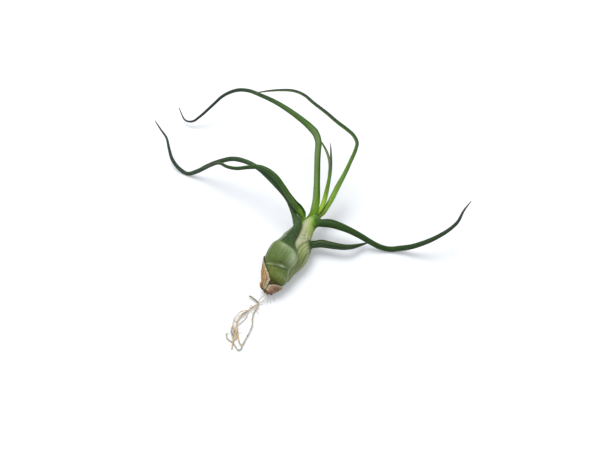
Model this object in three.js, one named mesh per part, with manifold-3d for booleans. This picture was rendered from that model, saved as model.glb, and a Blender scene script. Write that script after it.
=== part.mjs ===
// A small bulb-based air plant lying on a surface. Millimetres, +Z up, roots towards -Y.
// The origin is the flat spot under the bulb's belly, on the surface.
//
// Each leaf is one closed shell. Its sheath is a rolled wall round the bulb's axis, and its blade
// is a rolled channel along a curve of its own. A leaf's keel is the middle line of its back.
// Azimuths round the bulb are in degrees: 0 faces up and towards -Y, 90 faces +X and down.
import * as THREE from "three";
import { mergeVertices } from "three/addons/utils/BufferGeometryUtils.js";
import Module from "manifold-3d";

const SHEATH_WALL = 0.6;
const BLADE_WALL = 0.6;
const SEAT_GAP = 0.38; // between the stem and the leaf that sits on it
const SEAT_STEP = 1.5; // along the stem, from one leaf's seat to the next
const INNERMOST_SEAT = 12; // along the axis, where the youngest leaf begins
const STEM_BASE_RADIUS = 2.6;
const STEM_TAPER = 0.2; // radius lost for each millimetre of stem
const FRONT_LAYER = 1.08; // from the lower right leaf's outer face to the front leaf's
const WAIST_DEPTH = 1.05; // of the crease across the front leaf's lower front
const ROOT_RADIUS = 0.42;
const BLADE_POINTS = 9; // across a blade

const v3 = (x, y, z) => new THREE.Vector3(x, y, z);
const radians = (degrees) => (degrees * Math.PI) / 180;
const FACE_UP = v3(0, -0.5, 0.866);

// The bulb's axis, from the base ring to the mouth of the neck.
const AXIS = new THREE.CatmullRomCurve3([
  v3(-14.5, -20, 5.6),
  v3(-9.8, -13, 7),
  v3(-5, -6, 8),
  v3(1, 2, 7.95),
  v3(5, 10, 9.9),
  v3(8.2, 18.4, 12.2),
  v3(13.5, 26.3, 14),
]);

// Sizes of the stack of sheaths: along the axis, the innermost radius, and the step from one
// sheath's outer face to the next's.
const STACK = [
  [12, 1.18, 1],
  [20, 0.9, 1.12],
  [27, 0.85, 1.27],
  [32, 0.75, 1.2],
  [36, 0.6, 1.02],
  [42, 0.42, 0.97],
  [58, 0.42, 0.95],
];

// The front leaf's ball: along the axis, how far its middle is off the axis, and its radius.
const BALL = [
  [1.5, 0, 3.2],
  [4, 1, 4.9],
  [8, 2.2, 6.6],
  [12, 3.2, 7.6],
  [16, 4.4, 8.8],
  [21, 5.4, 9.5],
  [25, 5.4, 9.4],
  [29, 5.2, 8.8],
  [33, 5.6, 7],
  [36, 5.9, 5.6],
];
const BALL_AZIMUTH = -68;

// A value at x from rows of [x, value, ...], by a smooth curve through them.
function along(rows, x, column) {
  let i = 0;
  while (i < rows.length - 2 && x > rows[i + 1][0]) i += 1;
  const at = (k) => rows[Math.min(Math.max(k, 0), rows.length - 1)];
  const [a, b, c, d] = [at(i - 1), at(i), at(i + 1), at(i + 2)];
  const span = c[0] - b[0];
  const t = Math.min(Math.max((x - b[0]) / span, 0), 1);
  const slopeB = ((c[column] - a[column]) / (c[0] - a[0])) * span;
  const slopeC = ((d[column] - b[column]) / (d[0] - b[0])) * span;
  const t2 = t * t;
  const t3 = t2 * t;
  return (
    (2 * t3 - 3 * t2 + 1) * b[column] +
    (t3 - 2 * t2 + t) * slopeB +
    (3 * t2 - 2 * t3) * c[column] +
    (t3 - t2) * slopeC
  );
}

// Position and directions on the bulb's axis, s millimetres from the base ring.
const AXIS_LENGTH = AXIS.getLength();
function axisFrame(s) {
  const u = Math.min(Math.max(s / AXIS_LENGTH, 0), 1);
  const tangent = AXIS.getTangentAt(u);
  const point = AXIS.getPointAt(u).addScaledVector(tangent, s - u * AXIS_LENGTH);
  const up = FACE_UP.clone().addScaledVector(tangent, -FACE_UP.dot(tangent)).normalize();
  const right = tangent.clone().cross(up);
  return { point, tangent, up, right };
}

const stemRadius = (s) => STEM_BASE_RADIUS - STEM_TAPER * s;

// Outer radius of the sheath that has the given number of sheaths inside it.
function layerRadius(layer, s) {
  if (s < INNERMOST_SEAT) {
    const seat = INNERMOST_SEAT - SEAT_STEP * layer;
    const inside = Math.min(Math.max((s - seat) / SEAT_STEP, 0), layer);
    return stemRadius(s) + SEAT_GAP + SHEATH_WALL + STACK[0][2] * inside;
  }
  return along(STACK, s, 1) + along(STACK, s, 2) * layer;
}

// Outer radius of the front leaf's sheath: a ball beside the axis, lying on the next sheath
// wherever that one is wider, with a crease across its lower front.
function ballRadius(s, azimuth) {
  const offset = along(BALL, s, 1);
  const radius = along(BALL, s, 2);
  const turn = radians(azimuth - BALL_AZIMUTH);
  const reach = radius * radius - (offset * Math.sin(turn)) ** 2;
  const ball = offset * Math.cos(turn) + Math.sqrt(Math.max(reach, 0));
  const crease = WAIST_DEPTH * Math.exp(
    -(((s - 15 - 0.06 * azimuth) / 1.3) ** 2) - ((azimuth + 12) / 44) ** 2,
  );
  const seat = stemRadius(s) + SEAT_GAP + SHEATH_WALL;
  const below = (s < 3 ? seat : layerRadius(6, s) + FRONT_LAYER) - crease;
  const wanted = ball - crease;
  // Smooth greater-of-two, so that the ball leaves the sheath below it in a soft line.
  const soft = 0.35;
  const gap = wanted - below;
  return below + 0.5 * (gap + Math.sqrt(gap * gap + soft * soft));
}

// Rows of points across a wall wrapped round the bulb: the outer face, then the inner one.
function wrappedSection(rows, radiusAt, s, count) {
  const frame = axisFrame(s);
  const keel = along(rows, s, 1);
  const left = along(rows, s, 2);
  const right = along(rows, s, 3);
  const lift = along(rows, s, 4);
  const outer = [];
  const inner = [];
  const forward = [];
  for (let i = 0; i < count; i += 1) {
    const t = (2 * i) / (count - 1) - 1;
    const azimuth = keel + (t < 0 ? left : right) * t;
    const place = s + lift * t * t;
    const { point, tangent, up, right: across } = axisFrame(place);
    const radius = radiusAt(place, azimuth);
    const turn = radians(azimuth);
    const out = up.clone().multiplyScalar(Math.cos(turn)).addScaledVector(across, Math.sin(turn));
    const within = Math.max(radius - SHEATH_WALL, 0.3 * radius);
    outer.push(point.clone().addScaledVector(out, radius));
    inner.push(point.clone().addScaledVector(out, within));
    forward.push(tangent);
  }
  return { outer, inner, forward, frame, keel };
}

function bladeSection(centre, tangent, keel, radius, roll, count) {
  const side = tangent.clone().cross(keel);
  const outer = [];
  const inner = [];
  const within = Math.max(radius - BLADE_WALL, 0.3 * radius);
  for (let i = 0; i < count; i += 1) {
    const turn = radians(roll * ((2 * i) / (count - 1) - 1));
    const out = keel.clone().multiplyScalar(Math.cos(turn)).addScaledVector(side, Math.sin(turn));
    outer.push(centre.clone().addScaledVector(out, radius));
    inner.push(centre.clone().addScaledVector(out, within));
  }
  return { outer, inner };
}

// Turns a direction with a curve's tangent, without twisting it about the curve.
function carried(direction, from, to) {
  const turn = new THREE.Quaternion().setFromUnitVectors(from, to);
  return direction.clone().applyQuaternion(turn);
}

// Sections of a whole leaf, from its seat on the stem to its tip.
function leafSections(leaf) {
  const sections = [];
  const start = leaf.sheath[0][0];
  const end = leaf.sheath[leaf.sheath.length - 1][0];
  for (let i = 0; i <= leaf.sheathSteps; i += 1) {
    // Steps are shorter near the seat, where the wall flares.
    const t = i / leaf.sheathSteps;
    const s = start + (end - start) * (0.5 * t * t + 0.5 * t);
    sections.push(wrappedSection(leaf.sheath, leaf.radius, s, leaf.points));
  }
  const last = sections[sections.length - 1];
  const turn = radians(last.keel);
  let keel = last.frame.up.clone().multiplyScalar(Math.cos(turn));
  keel.addScaledVector(last.frame.right, Math.sin(turn));
  let tangent = last.frame.tangent;
  const path = new THREE.CatmullRomCurve3(leaf.blade.map((row) => v3(row[0], row[1], row[2])));
  const count = leaf.blade.length - 1;
  const rows = leaf.blade.map((row, i) => [i, row[3], row[4]]);
  const blade = [];
  for (let i = 0; i <= count * 2; i += 1) {
    const u = i / 2;
    const next = path.getTangent(u / count);
    keel = carried(keel, tangent, next);
    tangent = next;
    const radius = along(rows, u, 1);
    const roll = along(rows, u, 2);
    const wide = i === 0 ? leaf.points : BLADE_POINTS;
    const section = bladeSection(path.getPoint(u / count), tangent, keel, radius, roll, wide);
    blade.push({ ...section, tangent });
  }
  // The turn from sheath to blade, point by point.
  const first = blade[0];
  const stretch = leaf.turn;
  for (let i = 1; i < leaf.turnSteps; i += 1) {
    const t = i / leaf.turnSteps;
    const blend = (p, forward, q) => {
      const curve = new THREE.CubicBezierCurve3(
        p,
        p.clone().addScaledVector(forward, stretch),
        q.clone().addScaledVector(first.tangent, -stretch),
        q,
      );
      return curve.getPoint(t);
    };
    const outer = last.outer.map((p, k) => blend(p, last.forward[k], first.outer[k]));
    const inner = last.inner.map((p, k) => blend(p, last.forward[k], first.inner[k]));
    sections.push({ outer, inner });
  }
  sections.push(...blade);
  return sections;
}

// Triangles of a closed shell through the sections, drawn to a point at the far end.
function shell(sections, tip) {
  const points = [];
  const faces = [];
  const rings = sections.map(({ outer, inner }) => {
    const from = points.length;
    points.push(...outer, ...inner);
    return { outer: outer.map((_, i) => from + i), inner: inner.map((_, i) => from + outer.length + i) };
  });
  const strip = (a, b, flip) => {
    let [i, j] = [0, 0];
    while (i < a.length - 1 || j < b.length - 1) {
      const nextA = (i + 1) / (a.length - 1);
      const nextB = (j + 1) / (b.length - 1);
      const face = nextA <= nextB + 1e-9 ? [a[i], b[j], a[(i += 1)]] : [a[i], b[j], b[(j += 1)]];
      faces.push(flip ? [face[0], face[2], face[1]] : face);
    }
  };
  const end = (list) => list[list.length - 1];
  for (let k = 0; k < rings.length - 1; k += 1) {
    const [a, b] = [rings[k], rings[k + 1]];
    strip(a.outer, b.outer, false);
    strip(a.inner, b.inner, true);
    strip([a.inner[0], a.outer[0]], [b.inner[0], b.outer[0]], false);
    strip([end(a.outer), end(a.inner)], [end(b.outer), end(b.inner)], false);
  }
  strip(rings[0].inner, rings[0].outer, false);
  const far = end(rings);
  if (tip) {
    const apex = points.length;
    points.push(tip);
    const loop = [...far.outer, ...far.inner.slice().reverse()];
    loop.forEach((p, i) => faces.push([p, apex, loop[(i + 1) % loop.length]]));
  } else {
    strip(far.outer, far.inner, false);
  }
  return closedGeometry(points, faces);
}

// A geometry from points and triangles, pressed flat where it would go below the surface.
function closedGeometry(points, faces) {
  const geometry = new THREE.BufferGeometry();
  const numbers = points.flatMap((p) => [p.x, p.y, Math.max(p.z, 0)]);
  geometry.setAttribute("position", new THREE.Float32BufferAttribute(numbers, 3));
  geometry.setIndex(faces.flat());
  return outward(geometry);
}

// Turns the faces of a closed surface to the outside.
function outward(geometry) {
  const position = geometry.getAttribute("position");
  const index = geometry.getIndex();
  let volume = 0;
  const [a, b, c] = [v3(), v3(), v3()];
  for (let i = 0; i < index.count; i += 3) {
    a.fromBufferAttribute(position, index.getX(i));
    b.fromBufferAttribute(position, index.getX(i + 1));
    c.fromBufferAttribute(position, index.getX(i + 2));
    volume += a.dot(b.cross(c));
  }
  if (volume < 0) {
    for (let i = 0; i < index.count; i += 3) {
      const second = index.getX(i + 1);
      index.setX(i + 1, index.getX(i + 2));
      index.setX(i + 2, second);
    }
  }
  geometry.computeVertexNormals();
  return geometry;
}

// Leaves. A sheath row is: along the axis, keel azimuth, span to the left, span to the right, and
// how much farther along the axis the margins are than the keel.
// A blade row is: x, y, z of the middle, radius, roll (half the angle that the wall goes round).
const LEAVES = {
  leaf_front: {
    colour: 0x4f7a3a,
    layer: 7,
    points: 15,
    sheath: [
      [1.5, -50, 165, 150, 0],
      [5, -50, 140, 135, 0],
      [9, -50, 125, 120, 0],
      [14, -52, 112, 88, 0],
      [21, -54, 100, 80, 0],
      [27, -55, 92, 61, 0],
      [32, -54, 66, 36, 0],
      [35, -52, 42, 24, 0],
    ],
    sheathSteps: 20,
    turn: 4,
    turnSteps: 4,
    blade: [
      [3, 18.8, 18.4, 2.7, 122],
      [1.4, 23.6, 17.6, 1.75, 134],
      [0.4, 27.5, 17.2, 1.68, 140],
      [-2.2, 33, 19.8, 1.6, 150],
      [-5.7, 36, 24.1, 1.55, 150],
      [-10.4, 39.6, 28, 1.5, 150],
      [-15.2, 44.2, 29.8, 1.5, 150],
      [-20.5, 49.4, 30, 1.45, 150],
      [-28.5, 55, 28.5, 1.45, 150],
      [-36, 58.5, 25.5, 1.45, 150],
      [-44, 59.5, 21, 1.4, 150],
      [-51, 61, 14, 1.4, 150],
      [-58.5, 62, 6, 1.35, 150],
      [-65, 63.5, 1.1, 1.2, 150],
      [-70, 66.5, 2.3, 1.15, 150],
      [-74, 70.5, 6, 1.05, 150],
      [-76, 76, 10, 0.88, 150],
      [-77.5, 81.5, 13.5, 0.72, 150],
      [-81, 86, 16, 0.58, 150],
      [-84.5, 91, 18, 0.28, 150],
    ],
  },
  leaf_lower_right: {
    colour: 0x8d9a63,
    layer: 6,
    points: 15,
    sheath: [
      [3, 120, 160, 165, 0],
      [8, 120, 96, 150, 0],
      [13, 120, 82, 138, 0],
      [19, 120, 100, 126, 0],
      [24, 118, 120, 108, 2],
      [27, 115, 118, 84, 5.2],
      [29.3, 111, 94, 60, 7],
      [31, 108, 68, 42, 6.2],
    ],
    sheathSteps: 16,
    turn: 3,
    turnSteps: 5,
    blade: [
      [13.5, 10.3, 8.1, 2.75, 112],
      [17.2, 10.2, 8.3, 2.6, 136],
      [21, 9.3, 8.4, 2.3, 150],
      [26, 8.2, 8.5, 2.05, 150],
      [30.5, 7.6, 8.4, 1.8, 150],
      [35.5, 8.5, 7.2, 1.45, 150],
      [40, 10.4, 5.8, 1, 150],
      [45, 12.8, 4.2, 0.35, 150],
    ],
  },
  leaf_right: {
    colour: 0x8f9c5e,
    layer: 5,
    points: 13,
    sheath: [
      [4.5, 80, 160, 160, 0],
      [12, 80, 148, 148, 0],
      [27, 75, 138, 138, 0],
      [38, 72, 130, 126, 2],
      [43, 70, 110, 102, 5.4],
      [46, 70, 82, 78, 6.8],
    ],
    sheathSteps: 16,
    turn: 3,
    turnSteps: 5,
    blade: [
      [18, 20.8, 14.4, 2.65, 120],
      [23, 19.8, 15, 2.6, 145],
      [29, 17.8, 14.6, 2.3, 150],
      [34.5, 16, 13, 2, 150],
      [40.5, 14, 10.2, 1.8, 150],
      [46.5, 12, 6.5, 1.7, 150],
      [52.5, 10.5, 3.2, 1.65, 150],
      [58.5, 10, 1.55, 1.65, 150],
      [64.5, 9.5, 3.5, 1.7, 150],
      [70.5, 8.6, 7, 1.6, 150],
      [76, 8.6, 10.5, 1.5, 150],
      [81.5, 9.2, 14, 1.4, 150],
      [87, 10.8, 17, 1.25, 150],
      [92.5, 13.5, 19.5, 1.1, 150],
      [97, 17, 22, 0.95, 150],
      [100.5, 22.5, 25.5, 0.65, 150],
      [104.5, 27, 28, 0.28, 150],
    ],
  },
  leaf_left: {
    colour: 0x3c6a2c,
    layer: 4,
    points: 13,
    sheath: [
      [6, -105, 155, 155, 0],
      [12, -105, 142, 142, 0],
      [27, -105, 124, 128, 0],
      [36, -105, 108, 114, 0],
      [42, -106, 84, 102, 0],
      [46.5, -108, 44, 92, -0.5],
    ],
    sheathSteps: 13,
    turn: 2.2,
    turnSteps: 5,
    blade: [
      [6.2, 25.3, 16.6, 2.7, 120],
      [4.1, 27, 20.4, 2.35, 138],
      [1.3, 28.5, 24.2, 1.95, 148],
      [-2.2, 31.7, 28, 1.7, 150],
      [-5.7, 35.7, 31.5, 1.65, 150],
      [-9.2, 39.8, 34, 1.65, 150],
      [-13.6, 43.5, 35.2, 1.6, 150],
      [-19.5, 46.8, 34.8, 1.45, 150],
      [-26.5, 49, 31, 1.25, 150],
      [-33.5, 50.5, 27.5, 1.15, 150],
      [-39, 53, 25.5, 1, 150],
      [-43.5, 56, 24.5, 0.9, 150],
      [-49, 57, 21, 0.75, 150],
      [-54, 58.5, 15.5, 0.35, 150],
    ],
  },
  leaf_long: {
    colour: 0x4b8a2c,
    layer: 3,
    points: 11,
    sheath: [
      [7.5, -60, 150, 150, 0],
      [12, -60, 138, 138, 0],
      [27, -60, 126, 126, 0],
      [44, -60, 122, 118, 0],
      [51, -62, 104, 90, 0],
    ],
    sheathSteps: 14,
    turn: 1.6,
    turnSteps: 3,
    blade: [
      [13.6, 28.2, 16, 2.9, 96],
      [14.3, 33.7, 19, 2.3, 128],
      [14.6, 41, 24, 1.95, 150],
      [14.8, 48, 29.5, 1.85, 150],
      [15, 55, 35, 1.85, 150],
      [15.4, 61.5, 40, 2, 150],
      [13.7, 65.8, 42.3, 2.15, 150],
      [11.2, 68.3, 43.8, 2.1, 150],
      [7.6, 71.5, 45, 1.9, 150],
      [-1.3, 79.3, 45.5, 1.6, 150],
      [-9.7, 87, 43.5, 1.4, 150],
      [-18.3, 94.7, 39.5, 1.25, 150],
      [-27, 102.5, 34, 1.15, 150],
      [-34.5, 106.3, 29, 1.1, 150],
      [-42.5, 106.8, 23, 1, 150],
      [-50, 104.5, 15.5, 0.9, 150],
      [-58, 101, 8.5, 0.8, 150],
      [-63, 99.7, 5, 0.7, 150],
      [-67.5, 101, 4.5, 0.55, 150],
      [-71.5, 108, 7.5, 0.28, 150],
    ],
  },
  leaf_kinked: {
    colour: 0x7fa32e,
    layer: 2,
    points: 11,
    sheath: [
      [9, 120, 150, 150, 0],
      [12, 120, 138, 138, 0],
      [27, 120, 124, 124, 0],
      [42, 115, 118, 118, 0],
      [48, 110, 102, 102, 0],
    ],
    sheathSteps: 13,
    turn: 2,
    turnSteps: 3,
    blade: [
      [15.1, 26, 13.9, 2.2, 92],
      [18, 28, 14.6, 2, 98],
      [20.8, 31.2, 16.6, 1.75, 120],
      [23.5, 34.5, 19.5, 1.65, 140],
      [27, 40, 24, 1.6, 150],
      [31, 46, 28.5, 1.35, 150],
      [34.5, 52, 33, 1.2, 150],
      [37.5, 58, 36.5, 1.15, 150],
      [38.3, 62, 38, 1.15, 150],
      [36.3, 66, 39.5, 1.1, 150],
      [32.5, 69.2, 41, 1.15, 150],
      [27, 72.5, 43.5, 1.1, 150],
      [20, 78, 46, 1.05, 150],
      [13, 84, 46.8, 1, 150],
      [7, 90.3, 46.5, 0.95, 150],
      [1, 94, 45.5, 0.88, 150],
      [-6, 95.3, 44.5, 0.78, 150],
      [-13.5, 95.5, 43.5, 0.62, 150],
      [-21, 94.6, 43, 0.32, 150],
    ],
  },
  leaf_young_straight: {
    colour: 0x96b83a,
    layer: 1,
    points: 9,
    sheath: [
      [10.5, -10, 145, 145, 0],
      [14, -10, 136, 136, 0],
      [27, -10, 126, 126, 0],
      [42, -10, 120, 120, 0],
      [48, -10, 112, 112, 0],
    ],
    sheathSteps: 12,
    turn: 2,
    turnSteps: 3,
    blade: [
      [14.2, 26.3, 14.5, 1.3, 98],
      [16.9, 29, 16.7, 1.25, 108],
      [18.8, 32.5, 19.2, 1.4, 120],
      [20.3, 37, 23, 1.3, 130],
      [21.7, 42, 28, 1.1, 145],
      [22.6, 46.5, 32, 0.95, 150],
      [22.9, 51, 36, 0.75, 150],
      [22.8, 55.3, 39, 0.5, 150],
      [22.6, 59, 41, 0.22, 150],
    ],
  },
  leaf_young_curved: {
    colour: 0x9dbb45,
    layer: 0,
    points: 9,
    sheath: [
      [12, 170, 140, 140, 0],
      [27, 170, 136, 136, 0],
      [42, 170, 136, 136, 0],
      [48, 170, 136, 136, 0],
    ],
    sheathSteps: 12,
    turn: 2,
    turnSteps: 3,
    blade: [
      [14.3, 26.3, 13.7, 0.35, 140],
      [17.1, 29.8, 15.6, 0.45, 145],
      [19, 34, 18, 0.6, 150],
      [20.5, 39, 21, 0.8, 150],
      [22, 46, 25.8, 0.95, 150],
      [22.4, 52, 29.5, 0.9, 150],
      [21.5, 56.2, 31.5, 0.8, 150],
      [20, 60, 33, 0.7, 150],
      [18.3, 63, 34, 0.55, 150],
      [16.8, 65.8, 34.5, 0.27, 150],
    ],
  },
};

// Dry scales at the base, outside the leaves. Rows as for a sheath: along the axis, the middle's
// azimuth, span to the left, span to the right, and how much farther up the side edges are.
const SCALES = {
  scale_left: {
    colour: 0xc9a46a,
    rows: [
      [-0.6, -92, 62, 66, 0],
      [2.5, -90, 62, 66, 0],
      [4.8, -88, 62, 70, 0],
      [7, -90, 56, 54, 0],
      [9.5, -95, 46, 40, 0],
      [12, -101, 34, 30, 0],
      [14.5, -106, 19, 18, 0],
      [16.5, -109, 4, 6, 0],
    ],
    steps: 9,
    points: 11,
  },
  scale_right: {
    colour: 0x9c6a4c,
    rows: [
      [-0.6, 55, 72, 75, 0],
      [2, 55, 71, 72, 0],
      [3.2, 60, 62, 62, 0],
      [4.4, 66, 50, 52, 0],
      [5.4, 72, 34, 40, 0],
      [6.2, 76, 14, 18, 0],
    ],
    steps: 6,
    points: 9,
  },
};
const SCALE_LAYER = 1.1; // from the front leaf's outer face to a scale's

// Outer radius of a dry scale: it lies on the front leaf, and on the stem below the leaf's seat.
function scaleRadius(s, azimuth) {
  const seat = LEAVES.leaf_front.sheath[0][0];
  const leaf = ballRadius(Math.max(s, seat), azimuth) - Math.max(seat - s, 0);
  return Math.max(leaf + SCALE_LAYER, stemRadius(s) + SEAT_GAP + SHEATH_WALL);
}

function scaleSections(scale) {
  const start = scale.rows[0][0];
  const end = scale.rows[scale.rows.length - 1][0];
  const sections = [];
  for (let i = 0; i <= scale.steps; i += 1) {
    const s = start + ((end - start) * i) / scale.steps;
    sections.push(wrappedSection(scale.rows, scaleRadius, s, scale.points));
  }
  return sections;
}

// The stem's outline: along the bulb's axis, and radius. It starts in the hollow of its old end.
const STEM_OUTLINE = [
  [-0.4, 0.8],
  [-1.2, 1.2],
  [-1.6, 1.5],
  [-1.4, 1.8],
  [-0.9, 1.85],
  [-0.7, 2.2],
  [-0.6, stemRadius(-0.6)],
  [3, stemRadius(3)],
  [7, stemRadius(7)],
  [11, stemRadius(11)],
];
const STEM_SIDES = 14;

// A closed tube through rings of points, with a flat fan at each end.
function closedTube(rings) {
  const sides = rings[0].length;
  const points = rings.flat();
  const faces = [];
  for (let k = 0; k < rings.length - 1; k += 1) {
    for (let i = 0; i < sides; i += 1) {
      const a = k * sides + i;
      const b = k * sides + ((i + 1) % sides);
      faces.push([a, b, b + sides], [a, b + sides, a + sides]);
    }
  }
  for (const k of [0, rings.length - 1]) {
    const middle = points.length;
    const centre = v3(0, 0, 0);
    rings[k].forEach((p) => centre.addScaledVector(p, 1 / sides));
    points.push(centre);
    for (let i = 0; i < sides; i += 1) {
      const a = k * sides + i;
      const b = k * sides + ((i + 1) % sides);
      faces.push(k === 0 ? [b, a, middle] : [a, b, middle]);
    }
  }
  return closedGeometry(points, faces);
}

function stem() {
  const rings = STEM_OUTLINE.map(([s, radius]) => {
    const frame = axisFrame(s);
    return Array.from({ length: STEM_SIDES }, (_, i) => {
      const turn = (2 * Math.PI * i) / STEM_SIDES;
      return frame.point
        .clone()
        .addScaledVector(frame.up, radius * Math.cos(turn))
        .addScaledVector(frame.right, radius * Math.sin(turn));
    });
  });
  return closedTube(rings);
}

// Roots, strand by strand. They start in the hollow of the stem's end and lie in a loose tangle.
const ROOT_KNOT = v3(-19.5, -26, 1.8);
const FORK = v3(-25, -30.5, 1.5);
const LEFT_END = v3(-34.5, -40.5, 1);
const MIDDLE_END = v3(-32, -40.5, 1);
const LOWER_TANGLE = v3(-34, -50.5, 0.6);
const LOOP_END = v3(-28.5, -53, 0.7);
const ROOTS = [
  [v3(-15.4, -21.2, 5.3), v3(-16.4, -22.4, 4.4), v3(-18, -23.2, 3.4), v3(-19, -24.5, 2.6),
    ROOT_KNOT],
  [v3(-14.9, -21.2, 5.2), v3(-15.1, -22.8, 4), v3(-16, -24, 2.8), v3(-17.5, -25.5, 1.9),
    ROOT_KNOT],
  [v3(-25.4, -21.4, 1.9), v3(-23.6, -22.2, 1.8), v3(-21.5, -24, 1.8), ROOT_KNOT],
  [ROOT_KNOT, v3(-22.5, -28.5, 1.6), FORK, v3(-27, -32, 1.5), v3(-29, -33.5, 1.4),
    v3(-30.5, -35.5, 1.2), v3(-32, -38, 1.2), MIDDLE_END],
  [FORK, v3(-27.5, -31, 2), v3(-30, -32, 2.2), v3(-32, -34, 1.9), v3(-33.5, -36, 1.6), LEFT_END],
  [FORK, v3(-26, -32.5, 1), v3(-26.5, -34.5, 0.7), v3(-28, -36.5, 0.7), v3(-30, -38.5, 0.8),
    MIDDLE_END],
  [ROOT_KNOT, v3(-20.5, -29, 1), v3(-22, -31.5, 1.1), v3(-23, -36, 1.6), v3(-23, -40, 1.8),
    v3(-24.5, -44.5, 1.5), v3(-26.5, -48.5, 1), LOOP_END, v3(-29.5, -55.5, 0.5),
    v3(-31, -55.5, 0.5), v3(-32.5, -53, 0.6), LOWER_TANGLE],
  [MIDDLE_END, v3(-31.5, -43.5, 0.8), v3(-31, -47.5, 1), v3(-30, -51.5, 1.2), LOOP_END],
  [LEFT_END, v3(-33.5, -43.5, 0.8), v3(-34, -47, 0.6), LOWER_TANGLE, v3(-34.5, -55.5, 0.5)],
  [LEFT_END, v3(-35, -43.5, 1.7), v3(-34.5, -45.5, 1.4), v3(-34, -47, 0.6)],
  [MIDDLE_END, v3(-32, -44, 1.6), v3(-32.5, -47, 1.3), LOWER_TANGLE],
  [v3(-38, -45, 1.1), v3(-37.5, -47.5, 0.9), v3(-36, -49.5, 0.7), LOWER_TANGLE],
];
const ROOT_SIDES = 5;
const ROOT_STEP = 2.2;

function rootStrand(points) {
  const path = new THREE.CatmullRomCurve3(points);
  const steps = Math.max(2, Math.round(path.getLength() / ROOT_STEP));
  let tangent = path.getTangentAt(0);
  let side = tangent.clone().cross(v3(0, 0, 1)).normalize();
  const rings = [];
  for (let k = 0; k <= steps; k += 1) {
    const next = path.getTangentAt(k / steps);
    side = carried(side, tangent, next);
    tangent = next;
    const centre = path.getPointAt(k / steps);
    const other = tangent.clone().cross(side);
    rings.push(
      Array.from({ length: ROOT_SIDES }, (_, i) => {
        const turn = (2 * Math.PI * i) / ROOT_SIDES;
        return centre
          .clone()
          .addScaledVector(side, ROOT_RADIUS * Math.cos(turn))
          .addScaledVector(other, ROOT_RADIUS * Math.sin(turn));
      }),
    );
  }
  return closedTube(rings);
}

// Joins closed geometries into one body.
const wasm = await Module();
wasm.setup();
function joined(geometries) {
  const solids = geometries.map((geometry) => {
    const bare = geometry.clone();
    bare.deleteAttribute("normal");
    const merged = mergeVertices(bare, 1e-4);
    return new wasm.Manifold(
      new wasm.Mesh({
        numProp: 3,
        vertProperties: new Float32Array(merged.getAttribute("position").array),
        triVerts: new Uint32Array(merged.getIndex().array),
      }),
    );
  });
  const mesh = solids.reduce((whole, solid) => whole.add(solid)).getMesh();
  const geometry = new THREE.BufferGeometry();
  geometry.setAttribute("position", new THREE.Float32BufferAttribute(mesh.vertProperties, 3));
  geometry.setIndex(Array.from(mesh.triVerts));
  geometry.computeVertexNormals();
  return geometry;
}

const plant = new THREE.Group();

function addPiece(name, geometry, colour, roughness) {
  const material = new THREE.MeshStandardMaterial({ color: colour, roughness, metalness: 0 });
  const mesh = new THREE.Mesh(geometry, material);
  mesh.name = name;
  plant.add(mesh);
}

for (const [name, leaf] of Object.entries(LEAVES)) {
  leaf.radius = leaf.layer === 7 ? ballRadius : (s) => layerRadius(leaf.layer, s);
  const sections = leafSections(leaf);
  const last = leaf.blade[leaf.blade.length - 1];
  const tip = v3(last[0], last[1], last[2]);
  tip.addScaledVector(sections[sections.length - 1].tangent, 2.5 * last[3]);
  addPiece(name, shell(sections, tip), leaf.colour, 0.5);
}

for (const [name, scale] of Object.entries(SCALES)) {
  addPiece(name, shell(scaleSections(scale), null), scale.colour, 0.9);
}
addPiece("stem", stem(), 0x5a4030, 0.9);
addPiece("roots", joined(ROOTS.map(rootStrand)), 0xb8a58a, 0.9);

export default plant;
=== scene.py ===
"""Looks of a small bulb-based air plant lying on a pale floor.

Lengths are millimetres until a mesh is made, which is in metres. +Z is up and the roots point
towards -Y. Each leaf is one closed shell: its sheath is a rolled wall round the bulb's axis, and
its blade is a rolled channel along a curve of its own. Azimuths round the bulb are in degrees:
0 faces up and towards -Y, 90 faces +X and down.
"""

import logging
import math
from dataclasses import dataclass, field
from enum import Enum

import bpy
import numpy as np
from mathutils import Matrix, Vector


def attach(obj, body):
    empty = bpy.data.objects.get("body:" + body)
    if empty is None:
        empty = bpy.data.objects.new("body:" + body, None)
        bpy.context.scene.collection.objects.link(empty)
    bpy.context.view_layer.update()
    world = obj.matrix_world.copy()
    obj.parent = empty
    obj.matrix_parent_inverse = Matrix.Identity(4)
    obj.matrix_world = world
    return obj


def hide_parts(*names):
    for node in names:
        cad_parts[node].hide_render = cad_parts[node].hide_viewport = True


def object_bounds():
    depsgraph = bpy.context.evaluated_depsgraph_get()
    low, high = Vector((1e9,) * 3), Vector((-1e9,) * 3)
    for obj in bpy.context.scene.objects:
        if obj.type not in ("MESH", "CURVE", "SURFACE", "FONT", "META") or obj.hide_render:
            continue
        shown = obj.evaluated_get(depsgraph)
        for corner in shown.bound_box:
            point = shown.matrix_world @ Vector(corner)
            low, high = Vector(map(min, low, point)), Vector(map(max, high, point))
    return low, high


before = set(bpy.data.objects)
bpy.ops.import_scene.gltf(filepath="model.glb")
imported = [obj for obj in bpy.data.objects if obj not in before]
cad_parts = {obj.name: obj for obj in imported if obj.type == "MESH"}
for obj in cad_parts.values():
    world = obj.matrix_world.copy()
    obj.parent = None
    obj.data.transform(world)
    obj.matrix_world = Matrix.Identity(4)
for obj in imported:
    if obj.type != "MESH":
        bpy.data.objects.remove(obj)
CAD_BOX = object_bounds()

LOG = logging.getLogger("air_plant")
Array = np.ndarray
MM = 0.001

SHEATH_WALL = 0.6
BLADE_WALL = 0.6
SEAT_GAP = 0.38
SEAT_STEP = 1.5
INNERMOST_SEAT = 12.0
STEM_BASE_RADIUS = 2.6
STEM_TAPER = 0.2
FACE_UP = np.array([0.0, -0.5, 0.866])

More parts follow.
